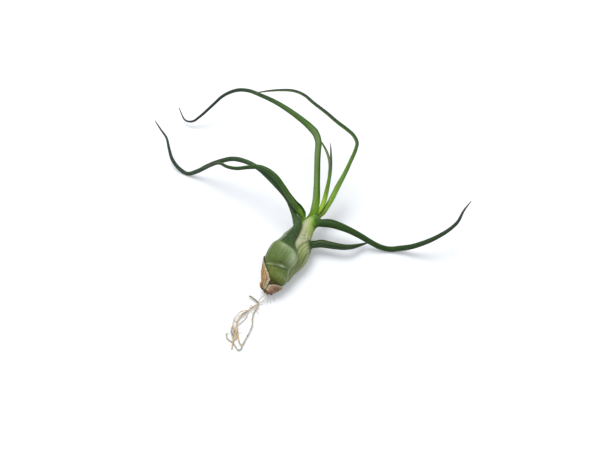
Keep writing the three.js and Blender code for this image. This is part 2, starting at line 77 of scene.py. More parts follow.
# The front leaf: sheaths inside it, its distance from the one below, where along the axis it
# leaves its seat, the side its ball is on, and how softly ball and sheath join.
FRONT_SHEATH = 7
FRONT_LAYER = 1.08
FRONT_FREE = 3.0
BALL_AZIMUTH = -68.0
BALL_JOIN = 0.35

# The dry scales: their distance from the front leaf, and where they leave their seat.
SCALE_LAYER = 1.1
SCALE_SEAT = 1.5

# Leaf walls: the share that margins are thinner by, the least inner radius as a share of the
# outer one, and how far a sheath's margins sink.
MARGIN_THINNING = 0.78
LEAST_BORE = 0.3
MARGIN_SINK = 0.62

# Blades: the waviness of the radius, and the tip's rings and its length in end radii.
BLADE_WAVE = 0.022
TIP_RINGS = 5
TIP_LENGTH = 2.5

# A row of a leaf's table: its length, and the usual last value in a sheath and in a blade.
ROW = 5
NO_LIFT = 0.0
FULL_ROLL = 150.0

SPLINE_STEPS = 240
SHARP_DEGREES = 55.0

AXIS_POINTS = np.array([
    [-14.5, -20, 5.6], [-9.8, -13, 7], [-5, -6, 8], [1, 2, 7.95],
    [5, 10, 9.9], [8.2, 18.4, 12.2], [13.5, 26.3, 14],
])

# Along the axis, the innermost radius, and the step from one sheath's outer face to the next's.
STACK = np.array([
    [12, 1.18, 1], [20, 0.9, 1.12], [27, 0.85, 1.27], [32, 0.75, 1.2],
    [36, 0.6, 1.02], [42, 0.42, 0.97], [58, 0.42, 0.95],
])

# The front leaf's ball: along the axis, how far its middle is off the axis, and its radius.
BALL = np.array([
    [1.5, 0, 3.2], [4, 1, 4.9], [8, 2.2, 6.6], [12, 3.2, 7.6], [16, 4.4, 8.8],
    [21, 5.4, 9.5], [25, 5.4, 9.4], [29, 5.2, 8.8], [33, 5.6, 7], [36, 5.9, 5.6],
])


@dataclass(frozen=True)
class Furrow:
    """A furrow across a sheath, which moves along the axis by its slant for each degree."""

    depth: float
    place: float
    slant: float
    azimuth: float
    span: float


CREASE = Furrow(depth=1.05, place=15.0, slant=0.06, azimuth=-12.0, span=44.0)
FOLD = Furrow(depth=0.65, place=14.5, slant=0.048, azimuth=-18.0, span=36.0)
CREASE_WIDTH = 1.3


def unit(vectors: Array) -> Array:
    """Vectors at length one: v / |v|."""
    return vectors / np.maximum(np.linalg.norm(vectors, axis=-1, keepdims=True), 1e-12)


def smooth(value: Array, low: float, high: float) -> Array:
    """Soft step from 0 at low to 1 at high: q = (value - low) / (high - low), then 3q^2 - 2q^3."""
    q = np.clip((value - low) / (high - low), 0, 1)
    return q * q * (3 - 2 * q)


def hump(value: Array, middle: float, width: float) -> Array:
    """Soft hump: exp(-((value - middle) / width)^2)."""
    return np.exp(-(((value - middle) / width) ** 2))


def follow(rows: Array, x: Array, column: int) -> Array:
    """Value at x on a smooth curve through rows of [x, value, ...].

    Cubic Hermite between two rows, with h(t) = (2t^3 - 3t^2 + 1) b + (t^3 - 2t^2 + t) mb
    + (3t^2 - 2t^3) c + (t^3 - t^2) mc, and each slope m taken from the rows either side.

    Args:
        rows: Table with x in its first column.
        x: Where to read it, of any shape.
        column: The column to read.

    Returns:
        Values of the same shape as x.
    """
    i = np.clip(np.searchsorted(rows[:, 0], x, side="left") - 1, 0, len(rows) - 2)
    a, b, c, d = (rows[np.clip(i + k, 0, len(rows) - 1)] for k in (-1, 0, 1, 2))
    span = c[..., 0] - b[..., 0]
    t = np.clip((x - b[..., 0]) / span, 0, 1)
    slope_b = (c[..., column] - a[..., column]) / (c[..., 0] - a[..., 0]) * span
    slope_c = (d[..., column] - b[..., column]) / (d[..., 0] - b[..., 0]) * span
    t2, t3 = t * t, t * t * t
    return (
        (2 * t3 - 3 * t2 + 1) * b[..., column] + (t3 - 2 * t2 + t) * slope_b
        + (3 * t2 - 2 * t3) * c[..., column] + (t3 - t2) * slope_c
    )


@dataclass
class Spline:
    """A smooth curve through points, centripetal Catmull-Rom, read by the points' own numbers."""

    points: Array

    def __post_init__(self) -> None:
        """Adds a mirrored point beyond each end, and measures the curve."""
        p = np.asarray(self.points, float)
        self.full = np.vstack([2 * p[0] - p[1], p, 2 * p[-1] - p[-2]])
        self.last = len(p) - 1
        self.steps = np.linspace(0, self.last, SPLINE_STEPS * self.last + 1)
        chords = np.linalg.norm(np.diff(self.at(self.steps), axis=0), axis=1)
        self.lengths = np.concatenate([[0], np.cumsum(chords)])

    def at(self, u: Array) -> Array:
        """Points on the curve.

        With knots spaced by the square root of the distance between points, the cubic on a
        span is x1 + m1 w + (3 (x2 - x1) - 2 m1 - m2) w^2 + (2 (x1 - x2) + m1 + m2) w^3.

        Args:
            u: Places, where 0 is the first point and 1 the second, of any shape.

        Returns:
            Points, with one more dimension than u.
        """
        u = np.clip(u, 0, self.last)
        i = np.minimum(np.floor(u).astype(int), self.last - 1)
        w = (u - i)[..., None]
        x0, x1, x2, x3 = (self.full[i + k] for k in range(4))
        d0, d1, d2 = (
            np.sqrt(np.maximum(np.linalg.norm(b - a, axis=-1, keepdims=True), 1e-8))
            for a, b in ((x0, x1), (x1, x2), (x2, x3))
        )
        m1 = ((x1 - x0) / d0 - (x2 - x0) / (d0 + d1) + (x2 - x1) / d1) * d1
        m2 = ((x2 - x1) / d1 - (x3 - x1) / (d1 + d2) + (x3 - x2) / d2) * d1
        square = (3 * (x2 - x1) - 2 * m1 - m2) * w**2
        return x1 + m1 * w + square + (2 * (x1 - x2) + m1 + m2) * w**3

    def tangent(self, u: Array) -> Array:
        """Directions along the curve: unit(p(u + h) - p(u - h)) for a small h."""
        h = 1e-4 * self.last
        return unit(self.at(np.minimum(u + h, self.last)) - self.at(np.maximum(u - h, 0)))

    def place(self, length: Array) -> Array:
        """Place on the curve at a length from its start, from the measured table."""
        return np.interp(length, self.lengths, self.steps)


class BulbAxis:
    """The bent line that the sheaths are rolled round, from the base ring to the neck's mouth."""

    def __init__(self) -> None:
        """Measures the axis once."""
        self.spline = Spline(AXIS_POINTS)
        self.length = float(self.spline.lengths[-1])

    def frame(self, s: Array) -> tuple[Array, Array, Array, Array]:
        """Point, tangent, upward and rightward directions at s millimetres from the base ring.

        Up is the fixed upward direction less its share along the tangent, and right is
        tangent x up. Beyond either end the axis goes on straight.

        Args:
            s: Lengths along the axis, of any shape.

        Returns:
            Four arrays with one more dimension than s.
        """
        inside = np.clip(s, 0, self.length)
        u = self.spline.place(inside)
        tangent = self.spline.tangent(u)
        point = self.spline.at(u) + tangent * (s - inside)[..., None]
        up = unit(FACE_UP - tangent * (tangent @ FACE_UP)[..., None])
        return point, tangent, up, np.cross(tangent, up)


AXIS = BulbAxis()


def outward(place: Array, azimuth: Array) -> tuple[Array, Array, Array]:
    """Axis points, tangents, and outward directions cos(azimuth) up + sin(azimuth) right."""
    point, tangent, up, side = AXIS.frame(place)
    angle = np.radians(azimuth)[..., None]
    return point, tangent, up * np.cos(angle) + side * np.sin(angle)


def stem_radius(s: Array) -> Array:
    """Radius of the stem: base radius - taper * s."""
    return STEM_BASE_RADIUS - STEM_TAPER * s


def layer_radius(layer: int, s: Array) -> Array:
    """Outer radius of the sheath with that many sheaths inside it.

    From the innermost seat on it is inner(s) + step(s) * layer. Before it, sheaths are seated
    one after another on the stem: stem(s) + gap + wall + step * seats passed.

    Args:
        layer: Sheaths inside this one.
        s: Lengths along the axis.

    Returns:
        Radii of the same shape as s.
    """
    passed = np.clip((s - (INNERMOST_SEAT - SEAT_STEP * layer)) / SEAT_STEP, 0, layer)
    seated = stem_radius(s) + SEAT_GAP + SHEATH_WALL + STACK[0, 2] * passed
    stacked = follow(STACK, s, 1) + follow(STACK, s, 2) * layer
    return np.where(s < INNERMOST_SEAT, seated, stacked)


def ball_radius(s: Array, azimuth: Array) -> Array:
    """Outer radius of the front leaf's sheath.

    A ball beside the axis, offset cos(a) + sqrt(radius^2 - (offset sin(a))^2), joined by a
    soft greater-of-two to the sheath below, less a crease that is a hump in s and azimuth,
    with a narrow fold at its bottom and a soft lip over the fold.

    Args:
        s: Lengths along the axis.
        azimuth: Azimuths in degrees, of the same shape.

    Returns:
        Radii of the same shape.
    """
    offset, radius = follow(BALL, s, 1), follow(BALL, s, 2)
    turn = np.radians(azimuth - BALL_AZIMUTH)
    reach = radius**2 - (offset * np.sin(turn)) ** 2
    ball = offset * np.cos(turn) + np.sqrt(np.maximum(reach, 0))
    line = s - CREASE.place - CREASE.slant * azimuth
    crease = CREASE.depth * np.exp(
        -((line / CREASE_WIDTH) ** 2) - ((azimuth - CREASE.azimuth) / CREASE.span) ** 2
    )
    line, width = s - FOLD.place - FOLD.slant * azimuth, hump(azimuth, FOLD.azimuth, FOLD.span)
    fold = FOLD.depth * width * (hump(line, -0.35, 0.4) - 0.5 * hump(line, 0.5, 0.5))
    crease = crease + fold
    seat = stem_radius(s) + SEAT_GAP + SHEATH_WALL
    stacked = layer_radius(FRONT_SHEATH - 1, s) + FRONT_LAYER
    below = np.where(s < FRONT_FREE, seat, stacked) - crease
    gap = ball - crease - below
    return below + 0.5 * (gap + np.sqrt(gap * gap + BALL_JOIN**2))


def scale_radius(s: Array, azimuth: Array) -> Array:
    """Outer radius of a dry scale: the front leaf's radius + a layer, or the stem's + a wall."""
    leaf = ball_radius(np.maximum(s, SCALE_SEAT), azimuth) - np.maximum(SCALE_SEAT - s, 0)
    return np.maximum(leaf + SCALE_LAYER, stem_radius(s) + SEAT_GAP + SHEATH_WALL)


def carried(start: Array, before: Array, tangents: Array) -> Array:
    """A direction carried along a path without twisting about it.

    From one tangent a to the next b, v becomes v + k x v + k x (k x v) / (1 + a.b), k = a x b.

    Args:
        start: The direction before the path.
        before: The tangent before the path.
        tangents: The path's tangents, one a station.

    Returns:
        One direction a station.
    """
    found, a = [], before
    for b in tangents:
        k = np.cross(a, b)
        first = np.cross(k, start)
        start = start + first + np.cross(k, first) / (1 + float(a @ b))
        start = unit(start - b * float(start @ b))
        found.append(start)
        a = b
    return np.array(found)


def ripple(x: Array, seed: int, waves: tuple[float, ...] = (1.0, 2.3, 4.1)) -> Array:
    """Gentle repeatable waviness: the mean of sin(2 pi f x + phase) over the frequencies."""
    phases = np.random.default_rng(seed).uniform(0, 2 * math.pi, len(waves))
    return sum(np.sin(2 * math.pi * f * x + p) for f, p in zip(waves, phases)) / len(waves)


def ring_quads(rows: int, columns: int) -> Array:
    """Quads (k, j), (k, j+1), (k+1, j+1), (k+1, j) between closed rings of points."""
    k, j = np.meshgrid(np.arange(rows - 1), np.arange(columns), indexing="ij")
    here, there = k * columns + j, k * columns + (j + 1) % columns
    return np.stack([here, there, there + columns, here + columns], -1).reshape(-1, 4)


def fan(ring: Array, middle: int) -> Array:
    """Triangles from each side of a closed ring, given as point numbers, to one middle point."""
    return np.stack([ring, np.roll(ring, -1), np.full(len(ring), middle)], -1)


@dataclass
class Shell:
    """A closed surface: rings of points round a wall, drawn to a point or capped at the end."""

    rings: Array
    values: dict[str, Array]
    apex: Array | None = None
    open_wall: bool = True

    def mesh(self, name: str) -> bpy.types.Mesh:
        """The closed mesh, its faces outward, with a UV map and the values as attributes.

        A wall's first ring is closed by quads from the outer to the inner face, and so is its
        last one where it has no apex. A solid tube's end is closed by a fan.

        Args:
            name: Name of the mesh.

        Returns:
            The mesh, in metres.
        """
        rows, columns = self.rings.shape[:2]
        around, top = np.arange(columns), (rows - 1) * columns
        quads, fans, extra = [ring_quads(rows, columns)], [], []
        if self.open_wall:
            i = np.arange(columns // 2 - 1)
            quads.append(np.stack([i, columns - 1 - i, columns - 2 - i, i + 1], -1))
            if self.apex is None:
                quads.append(top + np.stack([i, i + 1, columns - 2 - i, columns - 1 - i], -1))
        else:
            fans.append(fan(around, rows * columns)[:, [1, 0, 2]])
            extra.append(self.rings[0].mean(0))
        if self.apex is not None or not self.open_wall:
            fans.append(fan(top + around, rows * columns + len(extra)))
            extra.append(self.rings[-1].mean(0) if self.apex is None else self.apex)
        points = np.vstack([self.rings.reshape(-1, 3), *extra])
        points[:, 2] = np.maximum(points[:, 2], 0)
        faces = np.vstack(quads)
        triangles = np.vstack(fans) if fans else np.zeros((0, 3), int)
        halves = np.vstack([faces[:, [0, 1, 2]], faces[:, [0, 2, 3]], triangles])
        a, b, c = (points[halves[:, n]] for n in range(3))
        if float(np.einsum("ij,ij->i", a, np.cross(b, c)).sum()) < 0:
            faces, triangles = faces[:, ::-1], triangles[:, ::-1]
        filled = {
            key: np.concatenate([value.reshape(-1), np.full(len(extra), value.reshape(-1)[-1])])
            for key, value in self.values.items()
        }
        return build_mesh(name, points, faces, triangles, filled)


def build_mesh(
    name: str, points: Array, quads: Array, triangles: Array, values: dict[str, Array]
) -> bpy.types.Mesh:
    """A mesh from arrays, in metres, smooth but for its sharp folds, clipped to the CAD box.

    Args:
        name: Name of the mesh.
        points: Points in millimetres.
        quads: Point numbers of the four-sided faces.
        triangles: Point numbers of the three-sided faces.
        values: A value a point for each attribute; "u" and "v" make the UV map instead.

    Returns:
        The mesh.
    """
    low, high = (np.array(corner, float) for corner in CAD_BOX)
    mesh = bpy.data.meshes.new(name)
    mesh.vertices.add(len(points))
    mesh.vertices.foreach_set("co", np.clip(points * MM, low, high).astype(np.float32).ravel())
    corners = np.concatenate([quads.ravel(), triangles.ravel()]).astype(np.int32)
    starts = np.concatenate([
        4 * np.arange(len(quads)), 4 * len(quads) + 3 * np.arange(len(triangles))
    ]).astype(np.int32)
    mesh.loops.add(len(corners))
    mesh.loops.foreach_set("vertex_index", corners)
    mesh.polygons.add(len(starts))
    mesh.polygons.foreach_set("loop_start", starts)
    mesh.polygons.foreach_set("use_smooth", np.ones(len(starts), bool))
    mesh.update(calc_edges=True)
    mesh.validate()
    layer = mesh.uv_layers.new(name="leaf_uv")
    uv = np.stack([values["u"][corners], values["v"][corners]], -1)
    layer.data.foreach_set("uv", uv.astype(np.float32).ravel())
    for key, value in values.items():
        if key not in ("u", "v"):
            attribute = mesh.attributes.new(key, "FLOAT", "POINT")
            attribute.data.foreach_set("value", value.astype(np.float32))
    mesh.set_sharp_from_angle(angle=math.radians(SHARP_DEGREES))
    return mesh


def place_piece(
    mesh: bpy.types.Mesh, finish: bpy.types.Material, nodes: tuple[str, ...]
) -> bpy.types.Object:
    """Puts a mesh into the scene as a piece that rides on the root body.

    Args:
        mesh: The piece's mesh, whose name the piece takes.
        finish: Its material.
        nodes: CAD nodes that it stands for.

    Returns:
        The piece.
    """
    mesh.materials.append(finish)
    piece = bpy.data.objects.new(mesh.name, mesh)
    bpy.context.scene.collection.objects.link(piece)
    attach(piece, "root")
    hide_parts(*nodes)
    LOG.info("%s: %d points, %d faces", mesh.name, len(mesh.vertices), len(mesh.polygons))
    return piece


class Mark(Enum):
    """What a soft patch on a leaf does to its colour. The bloom-and-highlight mark lays silvery
    bloom together with painted highlights; the dark and olive marks are mostly the leaf's own
    darker colours, but some of their patches are painted shade in creases and along a blade's
    sides.
    """

    DARK = "dark"
    PALE = "pale"
    OLIVE = "olive"
    STAIN = "stain"
    LIME = "lime"
    # Silvery bloom together with painted highlights.
    BLOOM_AND_HIGHLIGHT = "sheen"


@dataclass(frozen=True)
class Patch:
    """A soft patch, amount * exp(-(x / reach)^2 - ((across - c) / span)^2).

    Here x = along - a - slope * across, so that a patch with a slope is a slanting line.
    """

    mark: Mark
    along: float
    reach: float
    across: float
    span: float
    amount: float = 1.0
    slope: float = 0.0

    def spread(self, along: Array, across: Array) -> Array:
        """The patch's strength at each point."""
        lengthwise = hump(along - self.slope * across, self.along, self.reach)
        return self.amount * lengthwise * hump(across, self.across, self.span)


@dataclass(frozen=True)
class Wedge:
    """A soft-edged strip along a leaf whose sides move steadily from its start to its end."""

    mark: Mark
    start: float
    end: float
    left: tuple[float, float]
    right: tuple[float, float]
    fade: float = 2.0
    edge: float = 0.12
    amount: float = 1.0

    def spread(self, along: Array, across: Array) -> Array:
        """Strength at each point.

        With q = (along - start) / (end - start), it is the product of soft steps in at the
        start and the left side, left0 + (left1 - left0) q, and out at the end and right side.

        Args:
            along: Millimetres along the leaf.
            across: Places across it from -1 to 1.

        Returns:
            Strengths of the same shape.
        """
        q = np.clip((along - self.start) / (self.end - self.start), 0, 1)
        left = self.left[0] + (self.left[1] - self.left[0]) * q
        right = self.right[0] + (self.right[1] - self.right[0]) * q
        lengthwise = smooth(along, self.start - self.fade, self.start + self.fade)
        lengthwise = lengthwise * smooth(-along, -self.end - self.fade, -self.end + self.fade)
        sideways = smooth(across - left, -self.edge, self.edge)
        return self.amount * lengthwise * sideways * smooth(right - across, -self.edge, self.edge)


@dataclass
class Leaf:
    """One leaf: a sheath rolled round the bulb, a turn, and a channelled blade.

    A sheath row is: along the axis, keel azimuth, span to the left, span to the right, and how
    much farther along the axis the margins are than the keel. A blade row is: x, y, z of the
    middle, radius, and roll, half the angle that the wall goes round.
    """

    name: str
    layer: int
    slot: str
    turn: float
    sheath: Array
    blade: Array
    patches: tuple = ()
    across: int = 45
    sheath_step: float = 0.55
    blade_steps: int = 9
    turn_steps: int = 14

    def radius(self, s: Array, azimuth: Array) -> Array:
        """Outer radius of the sheath: the ball for the front leaf, else the layer's."""
        if self.layer == FRONT_SHEATH:
            return ball_radius(s, azimuth)
        return layer_radius(self.layer, s)

    def columns(self) -> Array:
        """Places across the leaf, closer near the margins: 0.35 sin(x pi / 2) + 0.65 x."""
        x = np.linspace(-1, 1, self.across)
        return np.sin(x * math.pi / 2) * 0.35 + x * 0.65

    def wall(self, t: Array, thickness: float) -> Array:
        """Thickness of the wall across it: full * (1 - thinning * t^6)."""
        return thickness * (1 - MARGIN_THINNING * np.abs(t) ** 6)

    def sheath_rings(self, s: Array, t: Array) -> tuple[Array, Array, Array]:
        """Outer face, inner face and tangents of the sheath.

        A point is axis(p) + r (cos(a) up + sin(a) right), with azimuth a = keel + span * t and
        place p = s + lift * t^2. Near the margins r sinks towards the sheath below.

        Args:
            s: Stations along the axis.
            t: Places across.

        Returns:
            Three arrays of stations x places x 3.
        """
        keel, left, right, lift = (follow(self.sheath, s, c)[:, None] for c in (1, 2, 3, 4))
        azimuth = keel + np.where(t < 0, left, right) * t
        place = s[:, None] + lift * t**2
        point, tangent, out = outward(place, azimuth)
        sink = MARGIN_SINK * smooth(np.abs(t), 0.72, 1.0) * smooth(s, 9.0, 16.0)[:, None]
        radius = self.radius(place, azimuth) - sink
        within = np.maximum(radius - self.wall(t, SHEATH_WALL), LEAST_BORE * radius)
        return point + out * radius[..., None], point + out * within[..., None], tangent

    def blade_rings(self, t: Array) -> tuple[Array, Array, Array]:
        """Outer face, inner face and tangents of the blade.

        A point is centre(u) + r (cos(a) keel + sin(a) side), a = roll * t, side = tangent x
        keel, with the keel carried along the centre line from the sheath's mouth.

        Args:
            t: Places across.

        Returns:
            Two arrays of stations x places x 3, and one of stations x 3.
        """
        last = self.sheath[-1]
        _, before, up, side = (v[0] for v in AXIS.frame(np.array([last[0]])))
        angle = math.radians(last[1])
        path = Spline(self.blade[:, :3])
        u = np.linspace(0, path.last, path.last * self.blade_steps + 1)
        tangent = path.tangent(u)
        start = up * math.cos(angle) + side * math.sin(angle)
        keel = carried(start, before, tangent)
        rows = np.column_stack([np.arange(len(self.blade)), self.blade[:, 3:]])
        wave = 1 + BLADE_WAVE * ripple(u / 3, self.layer) * smooth(u, 1, 3)
        radius = (follow(rows, u, 1) * wave)[:, None]
        roll = np.radians(follow(rows, u, 2))[:, None] * t
        centre = path.at(u)
        # Rings from the last row to the tip, on a blunt point.
        q = np.linspace(0, 1, TIP_RINGS + 2)[1:-1]
        end, ahead = self.blade[-1], tangent[-1]
        centre = np.vstack([centre, end[:3] + ahead * (TIP_LENGTH * end[3] * q)[:, None]])
        radius = np.vstack([radius, (end[3] * (1 - q**2))[:, None]])
        roll, keel, tangent = (
            np.vstack([rows, np.repeat(rows[-1:], len(q), 0)]) for rows in (roll, keel, tangent)
        )
        across = np.cross(tangent, keel)
        out = (
            keel[:, None] * np.cos(roll)[..., None] + across[:, None] * np.sin(roll)[..., None]
        )
        within = np.maximum(radius - self.wall(t, BLADE_WALL), LEAST_BORE * radius)
        outer = centre[:, None] + out * radius[..., None]
        return outer, centre[:, None] + out * within[..., None], tangent

    def rings(self) -> tuple[Array, dict[str, Array]]:
        """All rings of the leaf, and the values of each point.

        The turn from sheath to blade is, point by point, the cubic Bezier from p to q with
        handles p + turn * f and q - turn * g, where f and g are the tangents at each end.

        Returns:
            Rings of points, and by name: growth (0 at the seat, 1 at the mouth, 2 at the tip),
            nearness to the margin, 0 for the outer face or 1 for the inner one, the UV map's
            two parts, and the strength of each kind of mark.
        """
        t = self.columns()
        start, end = self.sheath[0, 0], self.sheath[-1, 0]
        s = np.linspace(start, end, int((end - start) / self.sheath_step) + 1)
        outer, inner, forward = self.sheath_rings(s, t)
        blade_outer, blade_inner, tangent = self.blade_rings(t)
        w = np.linspace(0, 1, self.turn_steps + 1)[1:-1, None, None]

        def turned(p: Array, q: Array) -> Array:
            """Cubic Bezier from the mouth's points to the blade's first ones."""
            near, far = p + forward[-1] * self.turn, q - tangent[0] * self.turn
            return (
                p * (1 - w) ** 3 + 3 * near * w * (1 - w) ** 2
                + 3 * far * w * w * (1 - w) + q * w**3
            )

        outers = np.concatenate([outer, turned(outer[-1], blade_outer[0]), blade_outer])
        inners = np.concatenate([inner, turned(inner[-1], blade_inner[0]), blade_inner])
        middle = outers[:, len(t) // 2]
        run = np.concatenate([[0], np.cumsum(np.linalg.norm(np.diff(middle, axis=0), axis=1))])
        mouth = run[len(s) - 1]
        grow = np.where(run < mouth, run / mouth, 1 + (run - mouth) / (run[-1] - mouth))
        along = np.where(run < mouth, np.interp(run, run[:len(s)], s), end + run - mouth)
        loop = np.concatenate([outers, inners[:, ::-1]], axis=1)
        shape = loop.shape[:2]
        across = np.broadcast_to(np.concatenate([t, t[::-1]]), shape)
        values = {
            "u": (across + 1) / 2,
            "v": np.broadcast_to(run[:, None] / 10, shape),
            "grow": np.broadcast_to(grow[:, None], shape),
            "edge": np.abs(across),
            "inner": np.broadcast_to(np.repeat([0.0, 1.0], len(t)), shape),
        }
        along = np.broadcast_to(along[:, None], shape)
        for mark in Mark:
            found = [p.spread(along, across) for p in self.patches if p.mark is mark]
            values[mark.value] = np.clip(sum(found), 0, 1) if found else np.zeros(shape)
        return loop, values

    def build(self, finish: bpy.types.Material) -> bpy.types.Object:
        """Makes the leaf's mesh and puts it into the scene.

        Args:
            finish: The leaf's material.

        Returns:
            The piece.
        """
        loop, values = self.rings()
        end = self.blade[-1]
        path = Spline(self.blade[:, :3])
        tip = end[:3] + path.tangent(np.array([float(path.last)]))[0] * TIP_LENGTH * end[3]
        mesh = Shell(loop, values, apex=tip).mesh(self.name + "_surface")
        return place_piece(mesh, finish, (self.name,))


@dataclass
class Scale:
    """A dry papery scale round the base. Rows are as for a sheath, with torn edges."""

    name: str
    slot: str
    rows: Array
    seed: int
    torn: float = 0.09
    ragged: float = 0.6
    fold: float = 0.22
    wave: float = 0.12
    sunk: float = 0.1
    wall: float = 0.4
    flare: tuple = (0.0, 1.0, 0.0)
    across: int = 121
    steps: int = 130

    def build(self, finish: bpy.types.Material) -> bpy.types.Object:
        """Makes the scale's mesh and puts it into the scene.

        A point is axis(p) + r (cos(a) up + sin(a) right), with a = keel + span * t * (1 + tear),
        and p = s + lift * t^2 + ragged * ripple(t) * g^6 at g of the way to the far end. Folds
        and crumples are ripples in r. The flare, given as azimuth, span and height, is a hump
        in r at the old end.

        Args:
            finish: The scale's material.

        Returns:
            The piece.
        """
        t = np.linspace(-1, 1, self.across)
        s = np.linspace(self.rows[0, 0], self.rows[-1, 0], self.steps + 1)
        g = np.linspace(0, 1, self.steps + 1)[:, None]
        keel, left, right, lift = (follow(self.rows, s, c)[:, None] for c in (1, 2, 3, 4))
        tear = self.torn * ripple(g * 3, self.seed, (1.0, 2.7, 5.3, 9.1)) * np.abs(t) ** 5
        azimuth = keel + np.where(t < 0, left, right) * t * (1 + tear)
        jag = self.ragged * ripple(t * 2, self.seed + 1, (1.1, 3.2, 7.4)) * g**6
        place = s[:, None] + lift * t**2 + jag
        point, _, out = outward(place, azimuth)
        wave = self.wave * ripple(t * 1.5 + g, self.seed + 2, (1.3, 2.9, 5.1))
        edge = np.maximum(np.abs(t), g**3)
        folds = self.fold * ripple(t * 3 + 0.3 * g, self.seed + 3, (1.7, 3.4, 6.1))
        crumple = 0.5 * self.fold * ripple(g * 4 + t, self.seed + 4, (1.1, 2.7, 4.3))
        lip = self.flare[2] * hump(azimuth, self.flare[0], self.flare[1]) * hump(place, 0.8, 1.5)
        radius = scale_radius(place, azimuth) - self.sunk + wave * edge + folds + crumple + lip
        wall = self.wall * (1 - 0.7 * edge**4)
        outer = point + out * radius[..., None]
        inner = point + out * (radius - wall)[..., None]
        loop = np.concatenate([outer, inner[:, ::-1]], axis=1)
        shape = loop.shape[:2]
        values = {
            "u": np.broadcast_to(np.concatenate([t, t[::-1]]) / 2 + 0.5, shape),
            "v": np.broadcast_to(g * (s[-1] - s[0]) / 10, shape),
            "grow": np.broadcast_to(g, shape),
            "edge": np.concatenate([edge, edge[:, ::-1]], axis=1),
        }
        mesh = Shell(loop, values).mesh(self.name + "_surface")
        return place_piece(mesh, finish, (self.name,))


@dataclass
class Stem:
    """The short woody stem with the rings that old leaves left, hollow at its old end."""

    outline: Array = field(default_factory=lambda: np.array([
        [-0.4, 0.8], [-1.2, 1.2], [-1.6, 1.5], [-1.4, 1.8], [-0.9, 1.85], [-0.7, 2.2],
        [-0.6, 2.72], [3, 2.0], [7, 1.2], [11, 0.4],
    ]))
    sides: int = 72
    relief: float = 0.05

    def build(self, finish: bpy.types.Material) -> bpy.types.Object:
        """Turns the outline round the axis: axis(s) + r (cos(a) up + sin(a) right).

        Args:
            finish: The stem's material.

        Returns:
            The piece.
        """
        k = np.arange(len(self.outline), dtype=float)
        fine = np.linspace(0, len(self.outline) - 1, 12 * (len(self.outline) - 1) + 1)
        s, r = (np.interp(fine, k, self.outline[:, c])[:, None] for c in (0, 1))
        a = np.linspace(0, 2 * math.pi, self.sides, endpoint=False)[None]
        grain = self.relief * (np.sin(11 * a + 1.3) + np.sin(17 * a) * np.sin(5 * s + 2))
        point, _, up, side = AXIS.frame(np.broadcast_to(s, (len(s), self.sides)))
        radius = (r + grain * smooth(r, 0.6, 1.8))[..., None]
        rings = point + (up * np.cos(a)[..., None] + side * np.sin(a)[..., None]) * radius
        shape = rings.shape[:2]
        values = {
            "u": np.broadcast_to(a / (2 * math.pi), shape),
            "v": np.broadcast_to(s / 10, shape),
            "grow": np.broadcast_to(fine[:, None] / fine[-1], shape),
        }
        mesh = Shell(rings, values, open_wall=False).mesh("stem_surface")
        return place_piece(mesh, finish, ("stem",))


ROOT_KNOT = (-19.5, -26, 1.8)
FORK = (-25, -30.5, 1.5)
LEFT_END = (-34.5, -40.5, 1)
MIDDLE_END = (-32, -40.5, 1)
LOWER_TANGLE = (-34, -50.5, 0.6)
LOOP_END = (-28.5, -53, 0.7)


class Bark(Enum):
    """How old a root's bark looks: the value is read by the finish, from pale to olive."""

    PALE = 0.0
    TAN = 0.35
    GREY = 0.65
    OLIVE = 1.0


@dataclass(frozen=True)
class Strand:
    """One root: its points, its middle radius and its bark."""

    points: tuple
    radius: float
    bark: Bark


